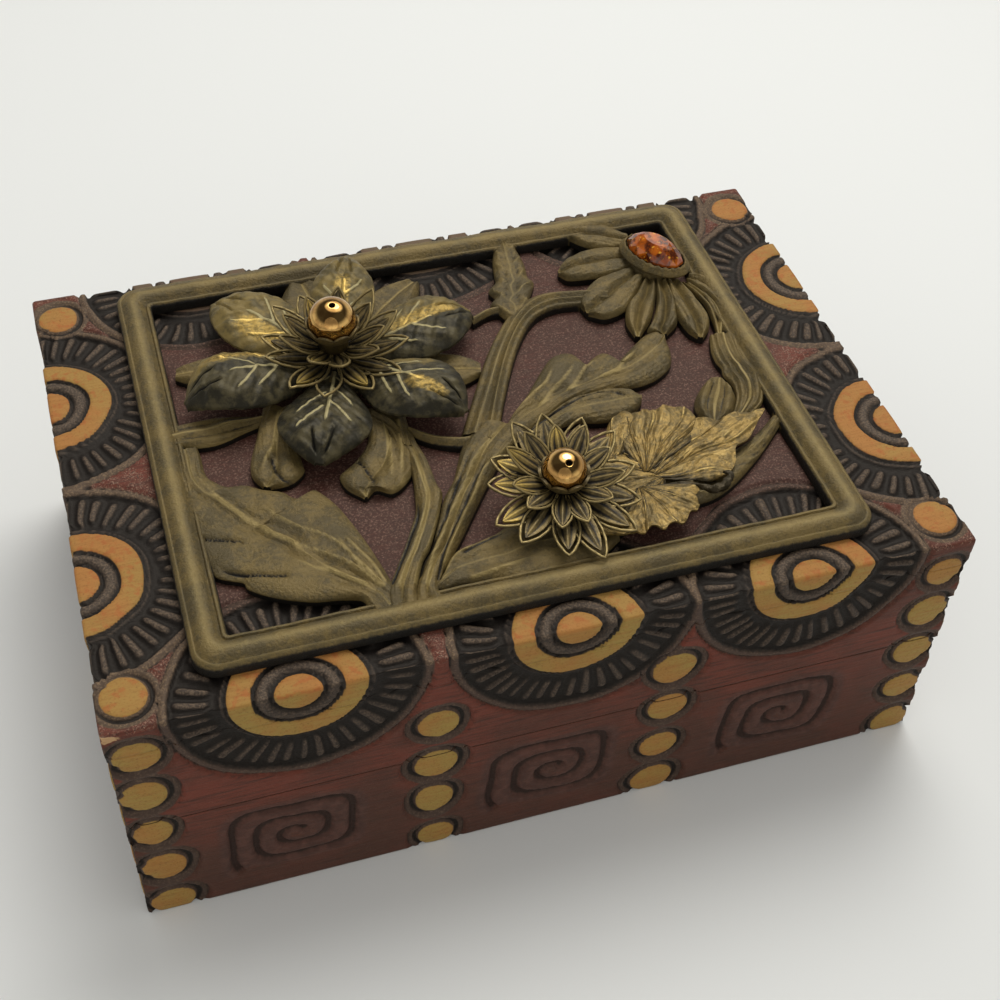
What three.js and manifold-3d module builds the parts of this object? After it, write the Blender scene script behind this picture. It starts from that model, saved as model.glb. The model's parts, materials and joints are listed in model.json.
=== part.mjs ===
// Hinged chip-carved trinket box with a cast brass openwork plate, two stacked metal flowers,
// a stamped gilt leaf and an amber glass stone on its lid. Millimetres, +Z up.
// The origin is the centre of the box's footprint, on the surface that it stands on.
// The front faces -Y and the lid opens towards +Y.
import * as THREE from "three";
import { mergeVertices } from "three/addons/utils/BufferGeometryUtils.js";
import Module from "manifold-3d";

const wasm = await Module();
wasm.setup();

// Driving dimensions of the wooden box
const boxWidth = 140;
const boxDepth = 99;
const boxHeight = 52;
const seamHeight = 27; // top of the base, where the saw parted the closed box
const sawGap = 0.4;
const wallThickness = 6;
const topThickness = 6;
const bottomThickness = 4;
const arrisRadius = 1;
const cornerRadius = 1.2;

// Chip carving: rosettes centred on the lid's top arrises, half of each on the top and half on a wall.
// A rosette has round V grooves and, between two of them, a band of short gouge cuts.
const longSideRosettes = [-41.3, 2, 41.3];
const shortSideRosettes = [-20.25, 20.25];
const ringRadii = [4.15, 6.5, 10.85, 20.4];
const ringHalfWidth = 0.6;
const ringDepth = 0.9;
const ringSides = 2.5; // half a ring's number of sides, for each root of a millimetre of radius
const gougeCount = 40;
const gougeBand = { from: 11.4, to: 18.5 };
const gougeShare = 0.6; // a cut's width at the surface, as a share of the spacing
const gougeDepth = 1;
const gougeSlope = 0.9; // how far the ends of a cut run out
const cutterLift = 0.3; // how far a cutter stands over the surface
const carvingTolerance = 0.03;
const overrun = 1; // how far a hole's cutter runs past the face that it opens

// Hinges, let into the back walls with the barrel behind the box
const hingeSpacing = 80;
const hingeLength = 18;
const leafThickness = 0.8;
const leafReach = 4.6;
const barrelRadius = 1.6;
const pinRadius = 0.7;
const pinClearance = 0.1;
const pinOverhang = 0.6;
const hingeClearance = 0.3;
const nailSpacing = 10;
const nailShankRadius = 0.55;
const nailHeadRadius = 1.1;
const nailHeadThickness = 0.4;
const nailLength = 5;
const nailClearance = 0.15;

// Cast openwork plate on the lid
const plateWidth = 110.4;
const plateDepth = 89.4;
const plateCentre = { x: -0.2, y: 0.95 };
const frameBar = 6;
const frameThickness = 3.4;
const plateCorner = 4;
const innerCorner = 0.5;
const frameBevel = 1.2;
const drawnWidth = 110.4; // the plate's size at which its elements' points were drawn
const drawnDepth = 89.4;
const glueLine = 0.1;
const stemThickness = 3;
const seatRadius = 6; // round pads on the casting, under the flowers and the stone
const leafCrown = 1.2;
const petalCrown = 0.9;
const foliageThickness = 1.8;
const castTolerance = 0.05; // how far the joined casting's surface may be smoothed
const castWaver = 0.04;
const trimAllowance = 1; // cast elements start this far below the underside and are cut flush

// A point given from the plate's centre follows the plate's width and depth
function onPlate(x, y) {
  return {
    x: plateCentre.x + (x * plateWidth) / drawnWidth,
    y: plateCentre.y + (y * plateDepth) / drawnDepth,
  };
}

// Each flower's place on the plate, and the height of the pad that it sits on.
// Large flower: painted petals, two filigree tiers, a gilt ball and the rivet that holds them
const largeFlower = { ...onPlate(-20.9, 14.3), seat: stemThickness };
const paintedPetalLength = 26.8;
const paintedPetalHalfWidth = 7.4;
const paintedPetalFullness = 1.35;
const paintedPetalTurn = 12;
const paintedPetalCrest = 0.72; // share of the length at which a petal's arch is highest
// Each petal is bent by hand: height of its arch and of its tip over the hub, anticlockwise from the right
const paintedPetals = [
  { arch: 3.0, tip: 0.6, droop: 1.6 },
  { arch: 2.8, tip: 2.0, droop: 1.4 },
  { arch: 2.8, tip: 0.6, droop: 1.4 },
  { arch: 5.6, tip: 1.4, droop: 2.6 },
  { arch: 3.2, tip: 1.6, droop: 1.6 },
  { arch: 4.6, tip: 2.0, droop: 1.8 },
];
const largeLowerTier = { count: 12, turn: 14, reach: 13, half: 1.9, rise: 5.6 };
const largeUpperTier = { count: 9, turn: 30, reach: 9, half: 1.7, rise: 6.4 };
const largeBallRadius = 4.1;
const largeBallLift = 2.8; // from the upper tier's seat to the ball

// Small flower, on the gilt leaf
const smallFlower = { ...onPlate(6.8, -27.2), seat: stemThickness };
const smallLowerTier = { count: 13, turn: 4, reach: 12.9, half: 1.9, rise: 1.6 };
const smallUpperTier = { count: 11, turn: 18, reach: 9.2, half: 1.6, rise: 3 };
const smallTilt = 8; // degrees that both tiers lean towards the front
const smallTierGap = 0.4; // the tiers' leaning petals pass each other this much further apart
const smallBallRadius = 3.55;
const leafCrease = 0.5; // how far the gilt leaf's middle stands up

// Shared by both flowers
const sheetThickness = 0.7;
const stampedTolerance = 0.01;
const rivetRadius = 1.1;
const rivetClearance = 0.3;
const rivetHoleReach = 4; // a rivet's hole runs this far above and below its sheet
const tierBore = 1.6; // where the petals leave a filigree tier's hub
const hubShare = 0.16;
const cupWall = 0.5;
const cupFootRadius = 2;
const cupMouth = 0.78; // the cup's mouth, as a share of its ball's radius
const seatGap = 0.3;

// Amber stone in the corner flower
const stoneFlower = { ...onPlate(43.5, 26.9), seat: frameThickness };
const stoneHalfWidth = 4.6;
const stoneHalfLength = 5.6;
const stoneHeight = 4.2;
const settingWall = 0.9;
const settingHeight = 1.6;

const plateBase = boxHeight + glueLine;
const halfWidth = boxWidth / 2;
const halfDepth = boxDepth / 2;
const lidBase = seamHeight + sawGap;

const finishes = {
  paintedWood: new THREE.MeshStandardMaterial({ color: 0x5a2a22, roughness: 0.6 }),
  bareWood: new THREE.MeshStandardMaterial({ color: 0xb98a55, roughness: 0.7 }),
  castBrass: new THREE.MeshStandardMaterial({ color: 0x7a6a3a, roughness: 0.5, metalness: 0.8 }),
  hingeBrass: new THREE.MeshStandardMaterial({ color: 0xb08d45, roughness: 0.4, metalness: 0.9 }),
  darkPetal: new THREE.MeshStandardMaterial({ color: 0x2c3134, roughness: 0.4, metalness: 0.3 }),
  agedGilt: new THREE.MeshStandardMaterial({ color: 0x6b5630, roughness: 0.45, metalness: 0.8 }),
  brightGilt: new THREE.MeshStandardMaterial({ color: 0xb08a3a, roughness: 0.3, metalness: 0.95 }),
  ball: new THREE.MeshStandardMaterial({ color: 0xc79a4a, roughness: 0.12, metalness: 1 }),
  amber: new THREE.MeshStandardMaterial({ color: 0xc2560c, roughness: 0.15 }),
};

const box = new THREE.Group();

// A closed geometry as a solid that can be joined and cut
function solid(geometry) {
  const bare = geometry.clone();
  bare.deleteAttribute("normal");
  bare.deleteAttribute("uv");
  const merged = mergeVertices(bare, 1e-4);
  return new wasm.Manifold(
    new wasm.Mesh({
      numProp: 3,
      vertProperties: new Float32Array(merged.attributes.position.array),
      triVerts: new Uint32Array(merged.index.array),
    }),
  );
}

function addPiece(name, shape, finish) {
  const made = shape.getMesh();
  const geometry = new THREE.BufferGeometry();
  geometry.setAttribute("position", new THREE.BufferAttribute(new Float32Array(made.vertProperties), 3));
  geometry.setIndex(new THREE.BufferAttribute(new Uint32Array(made.triVerts), 1));
  geometry.computeVertexNormals();
  const mesh = new THREE.Mesh(geometry, finish);
  mesh.name = name;
  box.add(mesh);
}

function block(x0, x1, y0, y1, z0, z1) {
  const geometry = new THREE.BoxGeometry(x1 - x0, y1 - y0, z1 - z0);
  return solid(geometry.translate((x0 + x1) / 2, (y0 + y1) / 2, (z0 + z1) / 2));
}

function rod(radius, length, x, y, z, sides = 16) {
  const geometry = new THREE.CylinderGeometry(radius, radius, length, sides).rotateX(Math.PI / 2);
  return solid(geometry.translate(x, y, z + length / 2));
}

function rodAlongX(radius, x0, x1, y, z, sides = 16) {
  const geometry = new THREE.CylinderGeometry(radius, radius, x1 - x0, sides).rotateZ(Math.PI / 2);
  return solid(geometry.translate((x0 + x1) / 2, y, z));
}

function roundedRectangle(width, depth, radius, centre = { x: 0, y: 0 }) {
  const shape = new THREE.Shape();
  const [left, right] = [centre.x - width / 2 + radius, centre.x + width / 2 - radius];
  const [front, back] = [centre.y - depth / 2 + radius, centre.y + depth / 2 - radius];
  shape.absarc(right, back, radius, 0, Math.PI / 2);
  shape.absarc(left, back, radius, Math.PI / 2, Math.PI);
  shape.absarc(left, front, radius, Math.PI, 1.5 * Math.PI);
  shape.absarc(right, front, radius, 1.5 * Math.PI, 2 * Math.PI);
  return shape;
}

// A sheet with thickness over a grid: top(u, v) and bottom(u, v) give points, u and v from 0 to 1
function sheet(top, bottom, across, along) {
  const points = [];
  for (const face of [top, bottom])
    for (let i = 0; i <= along; i++)
      for (let j = 0; j <= across; j++) points.push(...face(i / along, j / across));
  const row = across + 1;
  const below = (along + 1) * row;
  const faces = [];
  for (let i = 0; i < along; i++)
    for (let j = 0; j < across; j++) {
      const a = i * row + j;
      faces.push(a, a + row, a + row + 1, a, a + row + 1, a + 1);
      faces.push(below + a, below + a + row + 1, below + a + row);
      faces.push(below + a, below + a + 1, below + a + row + 1);
    }
  const rim = [];
  for (let i = 0; i < along; i++) rim.push(i * row);
  for (let j = 0; j < across; j++) rim.push(along * row + j);
  for (let i = along; i > 0; i--) rim.push(i * row + across);
  for (let j = across; j > 0; j--) rim.push(j);
  rim.forEach((a, k) => {
    const b = rim[(k + 1) % rim.length];
    faces.push(a, below + a, below + b, a, below + b, b);
  });
  const geometry = new THREE.BufferGeometry();
  geometry.setAttribute("position", new THREE.Float32BufferAttribute(points, 3));
  geometry.setIndex(faces);
  const made = solid(geometry);
  if (made.volume() >= 0) return made;
  for (let k = 0; k < faces.length; k += 3) [faces[k + 1], faces[k + 2]] = [faces[k + 2], faces[k + 1]];
  geometry.setIndex(faces);
  return solid(geometry);
}

function unite(solids) {
  return solids.reduce((all, next) => all.add(next));
}

// Wooden box: twelve boards, glued, rounded along the outer arrises
function outerBlock() {
  const shape = roundedRectangle(
    boxWidth - 2 * arrisRadius,
    boxDepth - 2 * arrisRadius,
    cornerRadius,
  );
  const geometry = new THREE.ExtrudeGeometry(shape, {
    depth: boxHeight - 2 * arrisRadius,
    bevelSize: arrisRadius,
    bevelThickness: arrisRadius,
    bevelSegments: 2,
    curveSegments: 3,
  });
  return solid(geometry.translate(0, 0, arrisRadius));
}

const hingeX = [-hingeSpacing / 2, hingeSpacing / 2];
const axisY = halfDepth + barrelRadius + hingeClearance;
const axisZ = seamHeight + sawGap / 2;
const nailY = halfDepth - leafReach / 2;

// Mortises for the leaves and pilot holes for the nails; side is -1 in the base and 1 in the lid
function hingeCuts(side) {
  const face = side < 0 ? seamHeight : lidBase;
  const depth = leafThickness + hingeClearance;
  const cuts = [];
  for (const x of hingeX) {
    const half = hingeLength / 2 + hingeClearance;
    const edges = side < 0 ? [face - depth, face + overrun] : [face - overrun, face + depth];
    const inner = halfDepth - leafReach - hingeClearance;
    cuts.push(block(x - half, x + half, inner, halfDepth + overrun, ...edges));
    for (const step of [-nailSpacing / 2, nailSpacing / 2]) {
      const hole = nailLength + hingeClearance;
      const start = side < 0 ? face - hole : face;
      cuts.push(rod(nailShankRadius + nailClearance, hole, x + step, nailY, start, 10));
    }
  }
  return unite(cuts);
}

// Carving cutters lie on the plane z = 0, with the wood below it
function ringCutter(radius) {
  const half = (ringHalfWidth * (ringDepth + cutterLift)) / ringDepth;
  const [inner, outer] = [radius - half, radius + half];
  const corners = [[inner, cutterLift], [radius, -ringDepth], [outer, cutterLift], [inner, cutterLift]];
  const profile = corners.map(([r, h]) => new THREE.Vector2(r, h));
  return new THREE.LatheGeometry(profile, 2 * Math.round(ringSides * radius ** 0.5)).rotateX(Math.PI / 2);
}

// A cut with a V section that runs out at both ends
function gougeCutter(angle) {
  const halfAt = (r) => (gougeShare * Math.PI * r * (gougeDepth + cutterLift)) / (gougeCount * gougeDepth);
  const { from, to } = gougeBand;
  const points = [
    [from, -halfAt(from), cutterLift],
    [to, -halfAt(to), cutterLift],
    [to, halfAt(to), cutterLift],
    [from, halfAt(from), cutterLift],
    [from + gougeSlope, 0, -gougeDepth],
    [to - gougeSlope, 0, -gougeDepth],
  ];
  const geometry = new THREE.BufferGeometry();
  geometry.setAttribute("position", new THREE.Float32BufferAttribute(points.flat(), 3));
  geometry.setIndex([0, 1, 2, 0, 2, 3, 0, 5, 1, 0, 4, 5, 2, 4, 3, 2, 5, 4, 0, 3, 4, 1, 5, 2]);
  return geometry.rotateZ(angle);
}

// The rosettes' halves on the lid's top. Those on the walls are as deep, and are left plain.
function topCarving() {
  const cutters = ringRadii.map(ringCutter);
  for (let k = 0; k < gougeCount; k++) {
    cutters.push(gougeCutter((2 * Math.PI * (k + 0.5)) / gougeCount));
  }
  const centres = [-1, 1].flatMap((side) => [
    ...longSideRosettes.map((x) => [x, side * halfDepth]),
    ...shortSideRosettes.map((y) => [side * halfWidth, y]),
  ]);
  const rosette = (x, y) => cutters.map((cutter) => solid(cutter.clone().translate(x, y, boxHeight)));
  return unite(centres.flatMap(([x, y]) => rosette(x, y)));
}

function addBoards() {
  const outer = outerBlock().subtract(topCarving()).simplify(carvingTolerance);
  const insideX = halfWidth - wallThickness;
  const insideY = halfDepth - wallThickness;
  const lidInside = boxHeight - topThickness;
  const board = (name, x0, x1, y0, y1, z0, z1, cut) => {
    const whole = block(x0, x1, y0, y1, z0, z1).intersect(outer);
    addPiece(name, cut ? whole.subtract(cut) : whole, finishes.paintedWood);
  };
  for (const [part, low, high, side] of [
    ["base", 0, seamHeight, -1],
    ["lid", lidBase, lidInside, 1],
  ]) {
    board(part + "_front_wall", -halfWidth, halfWidth, -halfDepth, -insideY, low, high);
    board(part + "_back_wall", -halfWidth, halfWidth, insideY, halfDepth, low, high, hingeCuts(side));
    board(part + "_left_wall", -halfWidth, -insideX, -insideY, insideY, low, high);
    board(part + "_right_wall", insideX, halfWidth, -insideY, insideY, low, high);
  }
  board("lid_top_panel", -halfWidth, halfWidth, -halfDepth, halfDepth, lidInside, boxHeight);
  addPiece(
    "base_bottom_panel",
    block(-insideX, insideX, -insideY, insideY, 0, bottomThickness),
    finishes.bareWood,
  );
}

// Butt hinge: three knuckles on one pin, the outer two on the base leaf
function addHinge(name, x) {
  const third = hingeLength / 3;
  const knuckles = {
    base: [
      [x - hingeLength / 2, x - third / 2 - hingeClearance / 2],
      [x + third / 2 + hingeClearance / 2, x + hingeLength / 2],
    ],
    lid: [[x - third / 2 + hingeClearance / 2, x + third / 2 - hingeClearance / 2]],
  };
  const bore = rodAlongX(pinRadius + pinClearance, x - hingeLength, x + hingeLength, axisY, axisZ);
  for (const [part, side] of [
    ["base", -1],
    ["lid", 1],
  ]) {
    const low = side < 0 ? seamHeight - leafThickness : lidBase;
    const high = low + leafThickness;
    const inside = halfDepth - hingeClearance;
    let leaf = block(x - hingeLength / 2, x + hingeLength / 2, halfDepth - leafReach, inside, low, high);
    for (const [x0, x1] of knuckles[part]) {
      leaf = leaf.add(rodAlongX(barrelRadius, x0, x1, axisY, axisZ));
      leaf = leaf.add(block(x0, x1, inside - 1, axisY, low, high));
    }
    for (const step of [-nailSpacing / 2, nailSpacing / 2]) {
      const hole = nailShankRadius + nailClearance;
      const face = side < 0 ? high - nailHeadThickness : low - overrun;
      leaf = leaf.subtract(rod(hole, leafThickness + 2 * overrun, x + step, nailY, low - overrun, 12));
      const seat = nailHeadRadius + nailClearance;
      leaf = leaf.subtract(rod(seat, nailHeadThickness + overrun, x + step, nailY, face, 12));
    }
    addPiece(`${name}_hinge_${part}_leaf`, leaf.subtract(bore), finishes.hingeBrass);
    [-nailSpacing / 2, nailSpacing / 2].forEach((step, k) => {
      const length = nailLength;
      const start = side < 0 ? high - length : low;
      const headAt = side < 0 ? high - nailHeadThickness + 0.05 : low;
      const head = rod(nailHeadRadius, nailHeadThickness - 0.05, x + step, nailY, headAt, 12);
      const shank = rod(nailShankRadius, length, x + step, nailY, start, 12);
      addPiece(`${name}_hinge_${part}_nail_${k + 1}`, head.add(shank), finishes.hingeBrass);
    });
  }
  const reach = hingeLength / 2 + pinOverhang;
  const pin = rodAlongX(pinRadius, x - reach, x + reach, axisY, axisZ);
  addPiece(`${name}_hinge_pin`, pin, finishes.hingeBrass);
}

// Openwork plate. A stem is a domed strip along a smooth curve; a blade is a domed leaf between two edges.
// Their points are in millimetres from the plate's centre.
function curveThrough(points) {
  const places = points.map(([x, y]) => onPlate(x, y));
  return new THREE.CatmullRomCurve3(places.map((place) => new THREE.Vector3(place.x, place.y, 0)));
}

function domed(place, edge, crown, along, across) {
  const top = (u, v) => [...place(u, v), plateBase + edge + crown * (1 - (2 * v - 1) ** 2)];
  const under = (u, v) => [...place(u, v), plateBase - trimAllowance];
  return sheet(top, under, across, along);
}

function stem({ points, start, end }) {
  const curve = curveThrough(points);
  const place = (u, v) => {
    const at = curve.getPoint(u);
    const way = curve.getTangent(u);
    const off = (2 * v - 1) * (start + (end - start) * u);
    return [at.x - way.y * off, at.y + way.x * off];
  };
  return domed(place, foliageThickness, stemThickness - foliageThickness, 14, 4);
}

function blade({ left, right }) {
  const [one, other] = [curveThrough(left), curveThrough(right)];
  const place = (u, v) => {
    const [a, b] = [one.getPoint(u), other.getPoint(u)];
    return [a.x + (b.x - a.x) * v, a.y + (b.y - a.y) * v];
  };
  return domed(place, foliageThickness, leafCrown, 14, 4);
}

// A petal's half width swells from its root to a blunt tip and is never quite zero
function petalWidth(half, fullness) {
  const least = 0.4;
  return (u) => Math.max(least, half * Math.sin(Math.PI * THREE.MathUtils.clamp(u, 0, 1) ** fullness));
}

function castPetal({ centre, turn, reach, half }) {
  const angle = THREE.MathUtils.degToRad(turn);
  const [c, s] = [Math.cos(angle), Math.sin(angle)];
  const width = petalWidth(half, 1.5);
  const place = (u, v) => {
    const off = (2 * v - 1) * width(u);
    return [centre.x + c * reach * u - s * off, centre.y + s * reach * u + c * off];
  };
  return domed(place, foliageThickness, petalCrown, 8, 4);
}

const stems = [
  {
    points: [
      [-22.8, -40.5], [-17.5, -23.9], [-14.3, -11.9], [-13.9, -5], [-17.3, 1.1],
    ],
    start: 2.1,
    end: 1.7,
  },
  {
    points: [
      [-19.8, -40.5], [-8.3, -19.9], [-0.3, -6], [5.7, 6], [10.7, 14.1],
      [16.7, 21.1], [26.7, 26.1],
    ],
    start: 2.5,
    end: 1.5,
  },
  { points: [[-17.3, -40.5], [-9.3, -26.4], [-2.3, -16.9], [3.7, -9.9]], start: 2.2, end: 2 },
];

const blades = [
  {
    left: [
      [-28.8, -40], [-35.3, -35.8], [-41.3, -33], [-45.3, -28.9], [-50.7, -24.9],
      [-51.2, -11.9], [-50.9, 1.6],
    ],
    right: [
      [-24.3, -40], [-24.9, -28.9], [-27.8, -19.4], [-32.3, -14.4], [-41.3, -10.4],
      [-45.8, -6], [-48.3, 1.6],
    ],
  },
  {
    left: [[-26.3, -36], [-31.3, -23.9], [-32.7, -16.4], [-31.9, -13.3], [-31.1, -12.1]],
    right: [[-24.1, -37], [-25.5, -23.9], [-26.9, -18.4], [-29.1, -13.5], [-30.1, -12.1]],
  },
  {
    left: [[-51.3, 7], [-44.3, 7.6], [-38.3, 6.9], [-33.8, 6.2]],
    right: [[-51.3, 2.5], [-44.3, 1.7], [-38.3, 3.5], [-33.8, 5.2]],
  },
  {
    left: [
      [-7.3, -17.9], [0.7, -8.9], [5.7, -3], [10.7, 3.6], [16.7, 7],
      [21.7, 5.5], [26.7, 5.2], [30.7, 7.2], [35.7, 9.7],
    ],
    right: [
      [-3.3, -22.9], [4.7, -11.9], [11.7, -6.5], [19.7, -4.2], [27.7, -4],
      [32.7, -2.8], [36.7, 0.3], [38.3, 5], [37.5, 9.1],
    ],
  },
  {
    left: [[-3.3, -20.9], [4.7, -10.9], [11.7, -6.8], [19.7, -4.2], [27.7, -5.2], [28.9, -7]],
    right: [[-0.3, -23.9], [5.7, -16.9], [13.7, -12.9], [21.7, -11.5], [25.7, -10.9], [28.1, -8.9]],
  },
  {
    left: [[12.3, 17.6], [10.5, 23.6], [11.5, 28.1], [13.3, 32], [14.5, 37], [17.1, 43]],
    right: [[14.5, 17.6], [18.3, 22.1], [20.1, 28.1], [20.1, 34], [19.9, 39], [19.3, 43]],
  },
  {
    left: [[-15.3, -37], [-10.3, -31.3], [-3.3, -29.1], [5.7, -30.3], [13.7, -31.9]],
    right: [[-17.3, -41], [-8.3, -41.4], [-0.3, -41.4], [7.7, -39], [13.7, -35.5]],
  },
  {
    left: [[11.7, -28.9], [21.7, -25.9], [32.7, -23.9], [41.7, -21.3], [50.9, -14.5]],
    right: [[13.7, -35], [23.7, -32.6], [32.7, -31.3], [41.7, -25.6], [50.9, -16.9]],
  },
  {
    left: [[46.5, 12.1], [45.7, 5], [44.3, -1.9], [44.1, -8], [47.7, -15.9]],
    right: [[50.9, 12.1], [51, 5], [51, -1.9], [50.9, -8.9], [50.9, -15.9]],
  },
  {
    left: [[50.2, -10.9], [46.2, -6], [43.3, -5.3], [39.7, -6.4], [37.7, -8.3]],
    right: [[50.2, -17.9], [45.7, -16.6], [40.7, -14.9], [37.3, -12.5], [36.7, -9.3]],
  },
  {
    left: [[-14.3, 0.1], [-9.3, -6], [-4.3, -9.5], [-1.7, -9.3]],
    right: [[-11.3, 1.6], [-7.3, -3.5], [-4.3, -5.8], [-1.3, -5.8]],
  },
];

// Petals of the two cast flowers: direction in degrees, reach and half width
const castPetals = [
  ...[
    [164, 27, 5],
    [92, 26, 5.5],
    [72, 28, 6.5],
    [50, 26, 4.5],
    [-14, 25, 5],
    [270, 29.5, 5.5],
    [236, 26, 5.5],
  ].map(([turn, reach, half]) => ({ centre: largeFlower, turn, reach, half })),
  ...[
    [143, 17.5, 4.6],
    [174, 18.5, 4.6],
    [212, 19.5, 5],
    [245, 20, 4.8],
    [273, 21, 4.6],
    [297, 17, 4.2],
  ].map(([turn, reach, half]) => ({ centre: stoneFlower, turn, reach, half })),
];

function addPlate() {
  const [outerWidth, outerDepth] = [plateWidth - 2 * frameBevel, plateDepth - 2 * frameBevel];
  const outer = roundedRectangle(outerWidth, outerDepth, plateCorner, plateCentre);
  const innerWidth = plateWidth - 2 * frameBar + 2 * frameBevel;
  const innerDepth = plateDepth - 2 * frameBar + 2 * frameBevel;
  outer.holes.push(roundedRectangle(innerWidth, innerDepth, innerCorner, plateCentre));
  const frameGeometry = new THREE.ExtrudeGeometry(outer, {
    depth: frameThickness - frameBevel,
    bevelSize: frameBevel,
    bevelThickness: frameBevel,
    bevelSegments: 3,
    curveSegments: 4,
  });
  const pieces = [solid(frameGeometry.translate(0, 0, plateBase))];
  for (const one of stems) pieces.push(stem(one));
  for (const one of blades) pieces.push(blade(one));
  for (const one of castPetals) pieces.push(castPetal(one));
  for (const { x, y, seat } of [largeFlower, smallFlower, stoneFlower])
    pieces.push(rod(seatRadius, seat + trimAllowance, x, y, plateBase - trimAllowance, 20));
  const limit = solid(
    new THREE.ExtrudeGeometry(roundedRectangle(plateWidth, plateDepth, plateCorner, plateCentre), {
      depth: 3 * frameThickness,
      bevelEnabled: false,
      curveSegments: 4,
    }).translate(0, 0, plateBase),
  );
  // A casting's edges aren't dead straight: this small waver also keeps the joined mesh free of slivers
  const waver = (point) => {
    point[0] += castWaver * Math.sin(1.3 * point[1]);
    point[1] += castWaver * Math.sin(1.1 * point[0]);
  };
  const casting = unite(pieces).intersect(limit).warp(waver).simplify(castTolerance);
  addPiece("openwork_plate", casting, finishes.castBrass);
}

// A stamped flower: petals round a hub with the rivet's hole. rise(u) is the height along a petal.
function stampedFlower(shape) {
  const { centre, count, turn, start, reach, half, base, rise, along = 5, across = 2 } = shape;
  const petals = [];
  const width = petalWidth(half, shape.fullness ?? 1.15);
  for (let k = 0; k < count; k++) {
    const angle = THREE.MathUtils.degToRad(turn + (360 / count) * k);
    const [c, s] = [Math.cos(angle), Math.sin(angle)];
    const point = (u, v, lift) => {
      const r = start + (reach - start) * u;
      const w = (2 * v - 1) * width(u);
      const z = base + rise(u, k) - (shape.droop?.(k) ?? 0) * (2 * v - 1) ** 2 * Math.sin(Math.PI * u) + lift;
      return [centre.x + c * r - s * w, centre.y + s * r + c * w, z];
    };
    petals.push(sheet((u, v) => point(u, v, sheetThickness), (u, v) => point(u, v, 0), across, along));
  }
  const hubRadius = start + (reach - start) * hubShare;
  const hub = rod(hubRadius, sheetThickness, centre.x, centre.y, base, 24);
  return unite([hub, ...petals]).subtract(rivetHole(centre, base)).simplify(stampedTolerance);
}

function rivetHole(centre, base) {
  return rod(rivetRadius + rivetClearance, 2 * rivetHoleReach, centre.x, centre.y, base - rivetHoleReach, 16);
}

function filigreeTier(tier, centre, base, bend) {
  const rise = (u) => tier.rise * u ** bend;
  return stampedFlower({ ...tier, centre, start: tierBore, base, rise });
}

// A bead cup carries the ball: its inside follows the ball at a small gap, over a hole for the rivet
function addCup(name, centre, ballRadius, base, lift) {
  const mouth = ballRadius * cupMouth;
  const hole = rivetRadius + rivetClearance;
  const inside = [1, 0.85, 0.7, 0.55].map((share) => {
    const r = share * mouth;
    return [r, lift + ballRadius - seatGap - Math.sqrt(ballRadius ** 2 - r ** 2)];
  });
  const outside = [[hole, 0], [cupFootRadius, 0], [mouth + cupWall, inside[0][1]]];
  const profile = [...outside, ...inside, [hole, inside.at(-1)[1]], [hole, 0]];
  const dish = new THREE.LatheGeometry(profile.map(([r, h]) => new THREE.Vector2(r, h)), 20);
  addPiece(name, solid(dish.rotateX(Math.PI / 2).translate(centre.x, centre.y, base)), finishes.agedGilt);
}

function addBall(ballName, rivetName, centre, radius, base) {
  const geometry = new THREE.SphereGeometry(radius, 24, 16).rotateX(Math.PI / 2);
  const ball = solid(geometry.translate(centre.x, centre.y, base + radius));
  addPiece(ballName, ball, finishes.ball);
  const start = plateBase + centre.seat + seatGap;
  addPiece(rivetName, rod(rivetRadius, base - seatGap - start, centre.x, centre.y, start), finishes.agedGilt);
}

// Heights of the large flower's pieces, each on the one below
const largeBase = plateBase + largeFlower.seat + seatGap;
const largeLowerBase = largeBase + sheetThickness + seatGap;
const largeUpperBase = largeLowerBase + sheetThickness + seatGap;
const largeCupBase = largeUpperBase + sheetThickness + seatGap;
const largeBallBase = largeCupBase + largeBallLift;

// A painted petal climbs to its crest and then bends down to its tip
function paintedPetalRise(u, k) {
  const { arch, tip } = paintedPetals[k];
  const climb = Math.sin((Math.PI / 2) * Math.min(1, u / paintedPetalCrest)) ** 1.3;
  const past = Math.max(0, u - paintedPetalCrest) / (1 - paintedPetalCrest);
  return arch * climb - (arch - tip) * past ** 2;
}

function addLargeFlower() {
  const painted = stampedFlower({
    centre: largeFlower,
    count: paintedPetals.length,
    turn: paintedPetalTurn,
    start: 2 * rivetRadius,
    reach: paintedPetalLength,
    half: paintedPetalHalfWidth,
    base: largeBase,
    fullness: paintedPetalFullness,
    rise: paintedPetalRise,
    droop: (k) => paintedPetals[k].droop,
    along: 9,
    across: 4,
  });
  addPiece("large_flower_petals", painted, finishes.darkPetal);
  const lower = filigreeTier(largeLowerTier, largeFlower, largeLowerBase, 1.4);
  addPiece("large_flower_lower_filigree", lower, finishes.agedGilt);
  const upper = filigreeTier(largeUpperTier, largeFlower, largeUpperBase, 1.5);
  addPiece("large_flower_upper_filigree", upper, finishes.agedGilt);
  addCup("large_flower_bead_cup", largeFlower, largeBallRadius, largeCupBase, largeBallLift);
  addBall("large_flower_ball", "large_flower_rivet", largeFlower, largeBallRadius, largeBallBase);
}

// The gilt leaf lies on the cast foliage, bored where the small flower's rivet passes through it
const giltLeafBase = plateBase + stemThickness + seatGap;
const smallLowerBase = giltLeafBase + sheetThickness + leafCrease + seatGap;
const smallUpperBase = smallLowerBase + sheetThickness + seatGap + smallTierGap;
const smallBallBase = smallUpperBase + sheetThickness + seatGap;

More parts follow.
